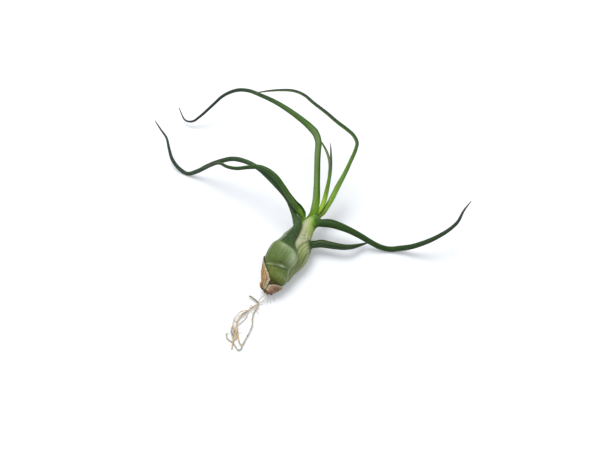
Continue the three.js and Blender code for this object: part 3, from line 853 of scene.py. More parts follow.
@dataclass
class Roots:
    """Wiry roots that leave the stem's old end and lie in a loose tangle, with fine rootlets."""

    sides: int = 10
    step: float = 0.3
    seed: int = 40
    taper: float = 0.45
    rootlets: int = 26
    rootlet_seed: int = 11
    rootlet_length: tuple = (1.2, 3.6)
    rootlet_radius: tuple = (0.08, 0.15)
    strands: tuple = (
        Strand(((-15.4, -21.2, 5.3), (-16.4, -22.4, 4.4), (-18, -23.2, 3.4), (-19, -24.5, 2.6),
                ROOT_KNOT), 0.3, Bark.PALE),
        Strand(((-14.9, -21.2, 5.2), (-15.1, -22.8, 4), (-16, -24, 2.8), (-17.5, -25.5, 1.9),
                ROOT_KNOT), 0.32, Bark.PALE),
        Strand(((-25.4, -21.4, 1.9), (-23.6, -22.2, 1.8), (-21.5, -24, 1.8), ROOT_KNOT),
               0.56, Bark.OLIVE),
        Strand((ROOT_KNOT, (-22.5, -28.5, 1.6), FORK, (-27, -32, 1.5), (-29, -33.5, 1.4),
                (-30.5, -35.5, 1.2), (-32, -38, 1.2), MIDDLE_END), 0.5, Bark.TAN),
        Strand((FORK, (-27.5, -31, 2), (-30, -32, 2.2), (-32, -34, 1.9), (-33.5, -36, 1.6),
                LEFT_END), 0.34, Bark.PALE),
        Strand((FORK, (-26, -32.5, 1), (-26.5, -34.5, 0.7), (-28, -36.5, 0.7),
                (-30, -38.5, 0.8), MIDDLE_END), 0.34, Bark.PALE),
        Strand((ROOT_KNOT, (-20.5, -29, 1), (-22, -31.5, 1.1), (-23, -36, 1.6), (-23, -40, 1.8),
                (-24.5, -44.5, 1.5), (-26.5, -48.5, 1), LOOP_END, (-29.5, -55.2, 0.6),
                (-31, -55.2, 0.6), (-32.5, -53, 0.6), LOWER_TANGLE), 0.44, Bark.GREY),
        Strand((MIDDLE_END, (-31.5, -43.5, 0.8), (-31, -47.5, 1), (-30, -51.5, 1.2), LOOP_END),
               0.46, Bark.TAN),
        Strand((LEFT_END, (-33.5, -43.5, 0.8), (-34, -47, 0.6), LOWER_TANGLE,
                (-34.5, -55.2, 0.5)), 0.48, Bark.TAN),
        Strand((LEFT_END, (-35, -43.5, 1.7), (-34.5, -45.5, 1.4), (-34, -47, 0.6)),
               0.42, Bark.GREY),
        Strand((MIDDLE_END, (-32, -44, 1.6), (-32.5, -47, 1.3), LOWER_TANGLE), 0.46, Bark.TAN),
        Strand(((-38, -45, 1.1), (-37.5, -47.5, 0.9), (-36, -49.5, 0.7), LOWER_TANGLE),
               0.44, Bark.GREY),
        Strand(((-13.7, -21.2, 4.6), (-13.2, -22.9, 2.8), (-12.8, -24.2, 1.4), (-12.7, -26, 0.6)),
               0.15, Bark.PALE),
        Strand(((-12.9, -20.8, 4.4), (-11.3, -21.8, 2.6), (-10.5, -23.1, 1.2),
                (-10.2, -24.4, 0.5)), 0.13, Bark.PALE),
        Strand(((-14.4, -21.4, 4.6), (-14.6, -23.1, 2.6), (-14.4, -24.7, 1.2),
                (-14.9, -26.9, 0.5)), 0.14, Bark.PALE),
        Strand(((-24.8, -26.9, 1.4), (-23, -28.1, 1.7), (-21.3, -29.7, 1.4), (-20, -31.3, 0.8),
                (-19.7, -33, 0.4)), 0.2, Bark.PALE),
        Strand((LEFT_END, (-33.2, -42, 1.4), (-32, -43.6, 1.6), (-31.2, -45.4, 1.5),
                (-31.8, -47.4, 1.2), (-33, -49, 1)), 0.4, Bark.TAN),
        Strand((MIDDLE_END, (-33, -42.4, 1.9), (-33.6, -44.6, 1.9), (-33, -46.6, 1.5),
                (-32, -48.6, 1)), 0.36, Bark.TAN),
        Strand(((-32.6, -42.3, 0.9), (-31.6, -43.7, 1.2), (-31, -45.1, 1), (-31.9, -45.7, 0.7),
                (-32.6, -44.2, 0.5)), 0.28, Bark.TAN),
        Strand(((-20.4, -27.2, 1.9), (-22, -27.9, 2.1), (-24, -29.3, 2), FORK), 0.34, Bark.TAN),
        Strand((FORK, (-26.4, -31.6, 2.1), (-28.2, -32.6, 2.2), (-29.8, -34.6, 2)), 0.3,
               Bark.TAN),
    )

    def sprouts(self) -> list[Strand]:
        """Fine rootlets that leave the thicker roots at seeded places and droop to the floor.

        Each starts at p on its root and runs to p + l (cos(a), sin(a)) at a low height, over a
        middle point that is pushed sideways.

        Returns:
            The rootlets.
        """
        chance = np.random.default_rng(self.rootlet_seed)
        found = []
        for i in range(self.rootlets):
            mother = self.strands[3 + i % 9]
            path = Spline(np.array(mother.points, float))
            start = path.at(np.array([chance.uniform(0.2, path.last - 0.2)]))[0]
            angle = chance.uniform(0, 2 * math.pi)
            away = np.array([math.cos(angle), math.sin(angle), 0.0])
            reach = away * chance.uniform(*self.rootlet_length)
            bend = np.array([-reach[1], reach[0], 0.0]) * chance.uniform(-0.5, 0.5)
            middle, end = start + reach * 0.5 + bend, start + reach
            middle[2], end[2] = max(0.25, 0.7 * start[2]), 0.15
            points = tuple(tuple(float(x) for x in p) for p in (start, middle, end))
            found.append(Strand(points, chance.uniform(*self.rootlet_radius), Bark.PALE))
        return found

    def tube(self, strand: Strand, seed: int) -> tuple[Array, Array, Array, dict[str, Array]]:
        """A tube along one strand.

        A ring is centre(u) + r(u) (cos(a) side + sin(a) other), the side carried along, and
        r = radius * (0.9 + 0.2 ripple), tapering at each end.

        Args:
            strand: The strand.
            seed: Chooses its thickness pattern.

        Returns:
            Points, quads, triangles and values.
        """
        path = Spline(np.array(strand.points, float))
        length = float(path.lengths[-1])
        count = max(6, int(length / self.step))
        reach = np.linspace(0, length, count + 1)
        u = path.place(reach)
        tangent, centre = path.tangent(u), path.at(u)
        first = unit(np.cross(tangent[0], [0, 0, 1]))
        side = carried(first, tangent[0], tangent)
        other = np.cross(tangent, side)
        ends = np.minimum(reach, length - reach)
        radius = strand.radius * (0.9 + 0.2 * ripple(reach / 5, seed))
        radius = radius * np.sqrt(np.clip(ends / self.taper + 0.05, 0.05, 1))
        a = np.linspace(0, 2 * math.pi, self.sides, endpoint=False)
        ring = side[:, None] * np.cos(a)[:, None] + other[:, None] * np.sin(a)[:, None]
        rings = centre[:, None] + ring * radius[:, None, None]
        rows, columns = rings.shape[:2]
        around, top = np.arange(columns), (rows - 1) * columns
        points = np.vstack([rings.reshape(-1, 3), centre[:1], centre[-1:]])
        quads = np.roll(ring_quads(rows, columns), -1, axis=1)
        triangles = np.vstack([
            fan(around, rows * columns)[:, ::-1],
            np.roll(fan(top + around, rows * columns + 1), 1, axis=1),
        ])
        values = {
            "u": np.append(np.broadcast_to(a / (2 * math.pi), (rows, columns)), [0, 0]),
            "v": np.append(np.repeat(reach / 10, columns), [0, length / 10]),
            "bark": np.full(len(points), strand.bark.value),
        }
        return points, quads, triangles, values

    def build(self, finish: bpy.types.Material) -> bpy.types.Object:
        """Joins all the strands' tubes into one piece.

        Args:
            finish: The roots' material.

        Returns:
            The piece.
        """
        strands = list(self.strands) + self.sprouts()
        parts = [self.tube(strand, self.seed + i) for i, strand in enumerate(strands)]
        offsets = np.cumsum([0] + [len(p[0]) for p in parts])
        points = np.vstack([p[0] for p in parts])
        quads = np.vstack([p[1] + o for p, o in zip(parts, offsets)])
        triangles = np.vstack([p[2] + o for p, o in zip(parts, offsets)])
        values = {key: np.concatenate([p[3][key] for p in parts]) for key in parts[0][3]}
        mesh = build_mesh("roots_surface", points, quads, triangles, values)
        return place_piece(mesh, finish, ("roots",))


class NodeTree:
    """A material's nodes, built up by short calls."""

    def __init__(self, name: str) -> None:
        """Starts an empty material.

        Args:
            name: The material's name.
        """
        self.material = bpy.data.materials.new(name)
        self.material.use_nodes = True
        self.tree = self.material.node_tree
        self.tree.nodes.clear()
        self.where = self.node("TexCoord").outputs["Object"]
        self.lay = self.node("UVMap", uv_map="leaf_uv").outputs["UV"]

    def node(self, kind: str, inputs: dict | None = None, **settings: object) -> bpy.types.Node:
        """Adds a node.

        Args:
            kind: The node's type, without the ShaderNode in front.
            inputs: Values for its sockets, or sockets to link to them, by name or number.
            settings: Values for the node's own settings.

        Returns:
            The node.
        """
        made = self.tree.nodes.new("ShaderNode" + kind)
        for key, value in settings.items():
            setattr(made, key, value)
        for key, value in (inputs or {}).items():
            if isinstance(value, bpy.types.NodeSocket):
                self.tree.links.new(value, made.inputs[key])
            else:
                made.inputs[key].default_value = value
        return made

    def noise(
        self, scale: float, detail: float, rough: float, where: object | None = None
    ) -> bpy.types.NodeSocket:
        """A cloudy pattern from 0 to 1 with that many features to the unit.

        Args:
            scale: Features to the unit, which is a metre unless the place says otherwise.
            detail: Octaves of finer features.
            rough: How strong the finer ones are.
            where: The place to read it at, or the object's own place.

        Returns:
            The pattern.
        """
        place = self.where if where is None else where
        inputs = {"Vector": place, "Scale": scale, "Detail": detail, "Roughness": rough}
        return self.node("TexNoise", inputs).outputs["Fac"]

    def wander(self, pattern: object, reach: float) -> object:
        """A pattern's middle range carried to -reach..reach."""
        return self.steps(pattern, 0.3, 0.7, -reach, reach)

    def stretched(self, across: float, along: float, detail: float, rough: float) -> object:
        """A cloudy pattern on the UV map, with that many features across the piece and along."""
        lay = self.node("Mapping", {"Vector": self.lay, "Scale": (across, along, 1.0)})
        return self.noise(1.0, detail, rough, lay.outputs[0])

    def value(self, name: str) -> bpy.types.NodeSocket:
        """A number attribute of the mesh."""
        return self.node("Attribute", attribute_name=name).outputs["Fac"]

    def math(self, operation: str, *values: object, clamp: bool = False) -> bpy.types.NodeSocket:
        """One step of arithmetic on numbers or sockets."""
        inputs = dict(enumerate(values))
        made = self.node("Math", inputs, operation=operation, use_clamp=clamp)
        return made.outputs[0]

    def steps(self, value: object, low: float, high: float, a: float, b: float) -> object:
        """A value carried smoothly from the range low..high to a..b."""
        made = self.node(
            "MapRange", {"Value": value, "From Min": low, "From Max": high, "To Min": a,
                         "To Max": b}, interpolation_type="SMOOTHSTEP",
        )
        return made.outputs["Result"]

    def ramp(self, value: object, stops: tuple) -> bpy.types.NodeSocket:
        """A colour read off a row of stops.

        Args:
            value: Where to read it, from 0 to 1.
            stops: Places and colours.

        Returns:
            The colour.
        """
        made = self.node("ValToRGB", {"Fac": value})
        ramp = made.color_ramp
        ramp.interpolation = "EASE"
        while len(ramp.elements) > 1:
            ramp.elements.remove(ramp.elements[-1])
        ramp.elements[0].position = stops[0][0]
        ramp.elements[0].color = shade(stops[0][1])
        for place, colour in stops[1:]:
            ramp.elements.new(place).color = shade(colour)
        return made.outputs["Color"]

    def mix(self, share: object, a: object, b: object, mode: str = "MIX") -> object:
        """A mix of two colours, each a socket or a triple."""
        made = self.node("Mix", data_type="RGBA", blend_type=mode)
        for key, value in ((0, share), (6, a), (7, b)):
            if isinstance(value, bpy.types.NodeSocket):
                self.tree.links.new(value, made.inputs[key])
            else:
                made.inputs[key].default_value = shade(value) if key else value
        return made.outputs[2]

    def toned(self, colour: object, value: float, saturation: float = 1.0) -> object:
        """A colour times a value, with its saturation times another."""
        inputs = {"Saturation": saturation, "Value": value, "Color": colour}
        return self.node("HueSaturation", inputs).outputs[0]

    def finish(
        self, colour: object, rough: object, specular: float,
        relief: tuple[object, float, float] | None = None, more: dict | None = None,
    ) -> bpy.types.Material:
        """Ends the tree with one principled surface.

        Args:
            colour: Its colour.
            rough: Its roughness.
            specular: How strongly it mirrors.
            relief: A height pattern, its strength and its depth in metres.
            more: Further sockets' values.

        Returns:
            The material.
        """
        inputs = {"Base Color": colour, "Roughness": rough, "Specular IOR Level": specular}
        if relief:
            height, strength, depth = relief
            bump = self.node("Bump", {"Height": height, "Strength": strength, "Distance": depth})
            inputs["Normal"] = bump.outputs[0]
        surface = self.node("BsdfPrincipled", inputs | (more or {}))
        self.node("OutputMaterial", {"Surface": surface.outputs[0]})
        return self.material


def shade(colour: tuple) -> tuple[float, float, float, float]:
    """A colour of red, green and blue parts of 255 as light: ((c / 255 + 0.055) / 1.055)^2.4."""
    parts = [c / 255 for c in colour[:3]]
    linear = [p / 12.92 if p <= 0.04045 else ((p + 0.055) / 1.055) ** 2.4 for p in parts]
    return (*linear, 1.0)


@dataclass(frozen=True)
class LeafFinish:
    """A leaf's finish: colours along it from the seat, through the mouth at 0.5, to the tip."""

    name: str
    stops: tuple
    value: float = 0.6
    saturation: float = 1.2
    margin: tuple = (168, 180, 132)
    dark: tuple = (50, 78, 38)
    pale: tuple = (180, 194, 166)
    olive: tuple = (72, 70, 28)
    stain: tuple = (124, 104, 88)
    lime: tuple = (124, 158, 66)
    # Colour of silvery bloom mixed with painted highlights.
    sheen: tuple = (208, 223, 184)
    inside: tuple = (92, 122, 62)
    veins: float = 46.0
    streak: float = 0.45
    speckle: float = 0.16
    margin_share: float = 0.4
    roughness: float = 0.5
    glow: float = 0.0

    def marked(self, tree: NodeTree, colour: object, blotch: object, veins: object) -> object:
        """Lays the marks over a colour, each broken up by a soft blotchy or streaky pattern.

        Args:
            tree: The material's nodes.
            colour: The colour under the marks.
            blotch: A pattern from 0 to 1.
            veins: A lengthwise pattern from 0 to 1.

        Returns:
            The marked colour.
        """
        uneven = tree.steps(blotch, 0.3, 0.7, 0.72, 1.0)
        streaky = tree.steps(veins, 0.36, 0.62, 1.0, 0.55)
        broken = tree.steps(tree.noise(900.0, 3.0, 0.6), 0.44, 0.62, 0.0, 0.85)
        for mark, over, share in (
            (Mark.LIME, self.lime, streaky), (Mark.DARK, self.dark, streaky),
            (Mark.OLIVE, self.olive, uneven), (Mark.PALE, self.pale, uneven),
            (Mark.BLOOM_AND_HIGHLIGHT, self.sheen, uneven), (Mark.STAIN, self.stain, broken),
        ):
            share = tree.math("MULTIPLY", tree.value(mark.value), share, clamp=True)
            colour = tree.mix(share, colour, over)
        return colour

    def material(self) -> bpy.types.Material:
        """Builds the material.

        The colour is the ramp along the leaf, then marks, a pale margin, fine lengthwise
        streaks that follow the UV map, and tiny pale scales. Streaks and scales are also in
        the bump, and blotches vary the roughness. Some leaves let a little light through.

        Returns:
            The material.
        """
        tree = NodeTree(self.name)
        blotch = tree.noise(420.0, 4.0, 0.6)
        drift = tree.noise(90.0, 2.0, 0.5)
        # The colour zones wander a little along the leaf instead of ending in straight rings.
        grow = tree.math("MULTIPLY", tree.value("grow"), 0.5)
        grow = tree.math("ADD", grow, tree.wander(blotch, 0.006))
        colour = tree.ramp(grow, self.stops)
        inner = tree.math("MULTIPLY", tree.value("inner"), 0.75)
        colour = tree.mix(inner, colour, self.inside)
        veins = tree.stretched(self.veins, 0.7, 3.0, 0.55)
        colour = self.marked(tree, colour, blotch, veins)
        rim = tree.steps(tree.value("edge"), 0.88, 1.0, 0.0, self.margin_share)
        colour = tree.mix(rim, colour, self.margin)
        colour = tree.mix(tree.steps(drift, 0.35, 0.65, 0.0, 0.4), colour, (150, 158, 120),
                          "SOFT_LIGHT")

        bands = tree.stretched(self.veins / 4, 0.35, 2.0, 0.5)
        groove = tree.steps(veins, 0.42, 0.58, self.streak, 0.0)
        colour = tree.mix(groove, colour, (150, 160, 130), "MULTIPLY")
        light_band = tree.steps(bands, 0.48, 0.62, 0.0, self.streak * 0.6)
        colour = tree.mix(light_band, colour, (188, 200, 160), "SOFT_LIGHT")
        scurf = tree.steps(tree.noise(2600.0, 2.0, 0.5), 0.52, 0.66, 0.0, 1.0)
        mealy = tree.math("MULTIPLY", scurf, self.speckle)
        colour = tree.mix(mealy, colour, (176, 190, 162))
        colour = tree.toned(colour, self.value, self.saturation)

        height = tree.math("MULTIPLY_ADD", veins, 0.7, tree.math("MULTIPLY", scurf, 0.4))
        rough = tree.math("MULTIPLY_ADD", blotch, 0.16, self.roughness - 0.08)
        through = {
            "Subsurface Weight": self.glow, "Subsurface Scale": 0.001,
            "Subsurface Radius": (0.6, 1.0, 0.3),
        }
        return tree.finish(
            colour, rough, 0.16, (height, 0.3, 0.00012), through if self.glow else None
        )


@dataclass(frozen=True)
class PaperFinish:
    """A dry, fibrous papery finish whose colour changes along and across the piece."""

    name: str
    along: tuple
    across: tuple
    across_share: float = 0.5
    fibre: tuple = (92, 74, 52)
    crease: tuple = (112, 74, 42)
    frayed: tuple = (216, 204, 176)
    value: float = 0.68
    roughness: float = 0.82

    def material(self) -> bpy.types.Material:
        """Builds the material.

        A ramp along the scale is mixed with one across it, then come dark lengthwise fibres,
        blotches and a pale frayed edge. The fibres are also in the bump.

        Returns:
            The material.
        """
        tree = NodeTree(self.name)
        split = tree.node("SeparateXYZ", {"Vector": tree.lay})
        blotch = tree.noise(700.0, 5.0, 0.65)
        wander = tree.wander(blotch, 0.06)
        grow = tree.math("ADD", tree.value("grow"), wander)
        side = tree.math("ADD", split.outputs[0], wander)
        colour = tree.mix(
            self.across_share, tree.ramp(grow, self.along), tree.ramp(side, self.across)
        )
        fibres = tree.stretched(60.0, 2.2, 4.0, 0.6)
        colour = tree.mix(tree.steps(fibres, 0.38, 0.56, 0.55, 0.0), colour, self.fibre)
        folds = tree.stretched(15.0, 1.1, 3.0, 0.6)
        colour = tree.mix(tree.steps(folds, 0.36, 0.46, 0.8, 0.0), colour, self.crease)
        colour = tree.mix(tree.steps(folds, 0.54, 0.66, 0.0, 0.6), colour, self.frayed)
        colour = tree.mix(tree.steps(blotch, 0.5, 0.68, 0.0, 0.4), colour, (150, 120, 84),
                          "MULTIPLY")
        edge = tree.math("ADD", tree.value("edge"), tree.wander(blotch, 0.08))
        edge = tree.steps(edge, 0.7, 0.95, 0.0, 0.8)
        colour = tree.mix(edge, colour, self.frayed)
        colour = tree.toned(colour, self.value)
        height = tree.math("MULTIPLY_ADD", fibres, 1.0, tree.math("MULTIPLY", blotch, 0.5))
        rough = tree.math("MULTIPLY_ADD", blotch, 0.2, self.roughness - 0.1)
        return tree.finish(colour, rough, 0.2, (height, 0.5, 0.0002))


@dataclass(frozen=True)
class WoodyFinish:
    """A rough woody finish for the stem: brown rings round a paler heart, with cracks."""

    name: str
    rings: tuple
    crack: tuple = (66, 48, 34)
    value: float = 0.62

    def material(self) -> bpy.types.Material:
        """Builds the material: a ramp along the turned outline, darkened in fine cracks.

        Returns:
            The material.
        """
        tree = NodeTree(self.name)
        blotch = tree.noise(1100.0, 5.0, 0.65)
        wander = tree.wander(blotch, 0.04)
        colour = tree.ramp(tree.math("ADD", tree.value("grow"), wander), self.rings)
        grain = tree.stretched(40.0, 5.0, 4.0, 0.6)
        colour = tree.mix(tree.steps(grain, 0.4, 0.55, 0.7, 0.0), colour, self.crack)
        colour = tree.mix(tree.steps(blotch, 0.5, 0.7, 0.0, 0.4), colour, (190, 160, 120),
                          "SOFT_LIGHT")
        colour = tree.toned(colour, self.value)
        height = tree.math("MULTIPLY_ADD", grain, 0.8, blotch)
        rough = tree.math("MULTIPLY_ADD", grain, 0.15, 0.75)
        return tree.finish(colour, rough, 0.2, (height, 0.7, 0.00025))


@dataclass(frozen=True)
class RootFinish:
    """The finish of wiry roots: bark from pale to tan, grey and olive, with rings and scales."""

    name: str
    bark: tuple = ((0.0, (232, 226, 214)), (0.35, (226, 200, 156)), (0.65, (190, 190, 172)),
                   (1.0, (150, 144, 112)))
    ring: tuple = (176, 150, 120)
    flake: tuple = (226, 220, 208)
    value: float = 0.74

    def material(self) -> bpy.types.Material:
        """Builds the material: bark by the root's age, then rings, blotches and fine flakes.

        Returns:
            The material.
        """
        tree = NodeTree(self.name)
        slow = tree.noise(260.0, 3.0, 0.6)
        fine = tree.noise(1500.0, 4.0, 0.6)
        age = tree.math("ADD", tree.value("bark"), tree.wander(slow, 0.14))
        colour = tree.ramp(age, self.bark)
        rings = tree.stretched(2.0, 14.0, 3.0, 0.6)
        colour = tree.mix(tree.steps(rings, 0.38, 0.52, 0.55, 0.0), colour, self.ring, "MULTIPLY")
        colour = tree.mix(tree.steps(fine, 0.52, 0.66, 0.0, 0.45), colour, self.flake)
        colour = tree.toned(colour, self.value)
        height = tree.math("MULTIPLY_ADD", rings, 0.8, fine)
        rough = tree.math("MULTIPLY_ADD", fine, 0.2, 0.68)
        return tree.finish(colour, rough, 0.2, (height, 0.6, 0.00012))


@dataclass(frozen=True)
class FloorFinish:
    """The floor's finish: near white, with a tone that hardly varies."""

    name: str = "pale_floor"
    tones: tuple = ((0.3, (212, 213, 216)), (0.7, (215, 216, 219)))
    # The floor's faint glow lifts the shadows on it: painted light.
    glow: float = 0.17

    def material(self) -> bpy.types.Material:
        """Builds the material: two near whites mixed by a slow pattern, with a faint glow that
        lifts the shadows on the floor, a painted light.

        Returns:
            The material.
        """
        tree = NodeTree(self.name)
        grain = tree.noise(60.0, 2.0, 0.5)
        colour = tree.ramp(grain, self.tones)
        lit = {"Emission Color": (0.92, 0.95, 1.0, 1.0), "Emission Strength": self.glow}
        return tree.finish(colour, 0.9, 0.1, more=lit)


LEAF_FINISHES = {
    "leaf_front": LeafFinish(
        "green_ball_leaf",
        ((0.0, (146, 120, 76)), (0.04, (108, 98, 44)), (0.075, (98, 100, 40)),
         (0.11, (124, 132, 62)), (0.16, (116, 130, 62)), (0.22, (108, 128, 70)),
         (0.36, (118, 138, 84)), (0.44, (118, 142, 84)), (0.5, (84, 114, 66)),
         (0.56, (82, 112, 70)), (0.64, (70, 100, 64)), (0.8, (50, 76, 50)),
         (0.92, (58, 74, 62)), (1.0, (88, 90, 92))),
        dark=(44, 74, 32), speckle=0.26, margin_share=0.12, saturation=1.1, streak=0.34,
    ),
    "leaf_lower_right": LeafFinish(
        "stained_pale_leaf",
        ((0.0, (146, 142, 100)), (0.3, (162, 170, 128)), (0.46, (196, 202, 160)),
         (0.5, (112, 136, 84)), (0.54, (76, 98, 66)), (0.7, (58, 80, 52)), (0.9, (60, 80, 54)),
         (1.0, (92, 96, 82))),
        pale=(204, 210, 170), streak=0.7, veins=34.0,
    ),
    "leaf_right": LeafFinish(
        "pale_necked_leaf",
        ((0.0, (166, 170, 126)), (0.3, (190, 194, 158)), (0.42, (222, 226, 190)),
         (0.455, (202, 214, 160)), (0.484, (194, 212, 142)), (0.496, (176, 204, 116)),
         (0.504, (136, 176, 88)), (0.514, (84, 118, 60)), (0.526, (52, 82, 36)),
         (0.74, (48, 76, 36)), (0.86, (56, 76, 50)), (0.94, (52, 60, 52)),
         (1.0, (98, 94, 98))),
        pale=(232, 234, 204), lime=(186, 212, 116), streak=0.3,
    ),
    "leaf_left": LeafFinish(
        "dark_left_leaf",
        ((0.0, (150, 160, 120)), (0.44, (140, 164, 92)), (0.52, (96, 130, 62)),
         (0.6, (96, 124, 74)), (0.7, (66, 96, 54)), (0.84, (56, 80, 50)), (1.0, (88, 86, 84))),
        # The inside and lime colours are lightened to lift the shade in the blade's narrow
        # channel: a paler inner face with painted light on it.
        inside=(150, 192, 116), lime=(186, 222, 130), margin_share=0.2, glow=0.3,
    ),
    "leaf_long": LeafFinish(
        "long_leaf",
        ((0.0, (150, 160, 120)), (0.44, (140, 164, 90)), (0.52, (124, 164, 76)),
         (0.58, (94, 128, 60)), (0.68, (94, 126, 72)), (0.76, (74, 98, 62)), (0.86, (54, 70, 56)),
         (0.95, (52, 60, 56)), (1.0, (120, 122, 124))),
    ),
    "leaf_kinked": LeafFinish(
        "kinked_leaf",
        ((0.0, (170, 184, 120)), (0.44, (190, 222, 110)), (0.56, (176, 214, 104)),
         (0.66, (122, 162, 84)), (0.74, (78, 106, 66)), (0.84, (58, 74, 60)), (0.94, (60, 72, 64)),
         (1.0, (98, 94, 92))),
        # The paler inner face is lightened further to lift the shade in its channel: partly
        # painted light.
        inside=(240, 255, 180), saturation=1.1, glow=0.5,
    ),
    "leaf_young_straight": LeafFinish(
        "young_leaf",
        # The stops from 0.5 to 0.64 and the paler inner face are lightened to lift the shade in
        # the groove between the young leaves: partly painted light.
        ((0.0, (176, 190, 124)), (0.5, (216, 246, 134)), (0.64, (206, 240, 116)),
         (0.75, (132, 170, 84)), (0.93, (112, 116, 100)), (1.0, (122, 104, 130))),
        inside=(240, 255, 180), saturation=1.1, glow=0.5,
    ),
    "leaf_young_curved": LeafFinish(
        "young_curved_leaf",
        ((0.0, (176, 190, 124)), (0.5, (200, 232, 126)), (0.75, (112, 148, 76)),
         (1.0, (84, 100, 66))),
        # The paler inner face is lightened further to lift the shade in its channel: partly
        # painted light.
        inside=(232, 252, 172), saturation=1.1, glow=0.5,
    ),
}


PAPER_FINISHES = (
    PaperFinish(
        "tan_paper",
        along=((0.0, (120, 88, 58)), (0.07, (196, 172, 134)), (0.2, (206, 176, 130)),
               (0.4, (204, 164, 104)), (0.66, (186, 160, 112)), (0.82, (164, 156, 124)),
               (1.0, (146, 146, 124))),
        across=((0.0, (196, 184, 158)), (0.3, (196, 176, 136)), (0.48, (206, 158, 92)),
                (0.62, (176, 122, 62)), (0.72, (206, 160, 96)), (1.0, (204, 186, 146))),
    ),
    PaperFinish(
        "red_paper",
        along=((0.0, (40, 26, 18)), (0.05, (70, 48, 34)), (0.12, (206, 168, 134)),
               (0.45, (172, 134, 106)), (0.66, (150, 114, 86)), (0.76, (220, 204, 168)),
               (1.0, (240, 230, 200))),
        across=((0.0, (248, 218, 184)), (0.2, (240, 204, 170)), (0.3, (188, 146, 120)),
                (0.5, (178, 136, 112)), (0.8, (176, 144, 122)), (1.0, (214, 192, 168))),
        across_share=0.6, frayed=(240, 222, 196), value=0.7,
    ),
)
STEM_FINISH = WoodyFinish(
    "old_stem",
    ((0.0, (232, 204, 180)), (0.16, (214, 180, 152)), (0.24, (150, 112, 84)), (0.32, (84, 58, 42)),
     (0.44, (168, 130, 98)), (0.6, (176, 142, 106)), (0.8, (150, 120, 86)), (1.0, (120, 104, 74))),
)


@dataclass
class Studio:
    """A pale floor, a wide soft light from above and a camera that looks down from the front."""

    camera_place: tuple = (0.0046, -0.3725, 0.6928)
    camera_turn: tuple = (30.0, 0.0, 0.0)
    lens: float = 79.5
    floor_reach: float = 3.0
    floor_height: float = -0.00005
    lamp_place: tuple = (-0.3, 0.4, 1.45)
    lamp_turn: tuple = (-14.0, -11.0, 0.0)
    lamp_size: float = 0.9
    lamp_power: float = 18.0
    sky: tuple = (0.96, 0.98, 1.0, 1.0)
    sky_strength: float = 0.8

    def build(self) -> None:
        """Makes the floor, the lights and the camera."""
        scene = bpy.context.scene
        mesh = bpy.data.meshes.new("floor")
        size, low = self.floor_reach, self.floor_height
        mesh.from_pydata(
            [(-size, -size, low), (size, -size, low), (size, size, low), (-size, size, low)],
            [], [(0, 1, 2, 3)],
        )
        mesh.materials.append(FloorFinish().material())
        floor = bpy.data.objects.new("floor", mesh)
        scene.collection.objects.link(floor)

        world = bpy.data.worlds.new("studio_white")
        world.use_nodes = True
        background = world.node_tree.nodes["Background"]
        background.inputs["Color"].default_value = self.sky
        background.inputs["Strength"].default_value = self.sky_strength
        scene.world = world

        lamp = bpy.data.lights.new("overhead", "AREA")
        lamp.shape, lamp.size, lamp.energy = "DISK", self.lamp_size, self.lamp_power
        light = bpy.data.objects.new("overhead", lamp)
        light.location = self.lamp_place
        light.rotation_euler = tuple(math.radians(a) for a in self.lamp_turn)
        scene.collection.objects.link(light)

        camera = bpy.data.objects.new("camera", bpy.data.cameras.new("camera"))
        camera.data.lens, camera.data.sensor_width = self.lens, 36.0
        camera.data.clip_start, camera.data.clip_end = 0.01, 10.0
        camera.location = self.camera_place
        camera.rotation_euler = tuple(math.radians(a) for a in self.camera_turn)
        scene.collection.objects.link(camera)
        scene.camera = camera
        scene.view_settings.view_transform = "Standard"


def leaf_rows(last: float, *rows: tuple) -> Array:
    """Rows of five numbers, where a row of four takes the usual last one."""
    return np.array([row if len(row) == ROW else (*row, last) for row in rows], float)


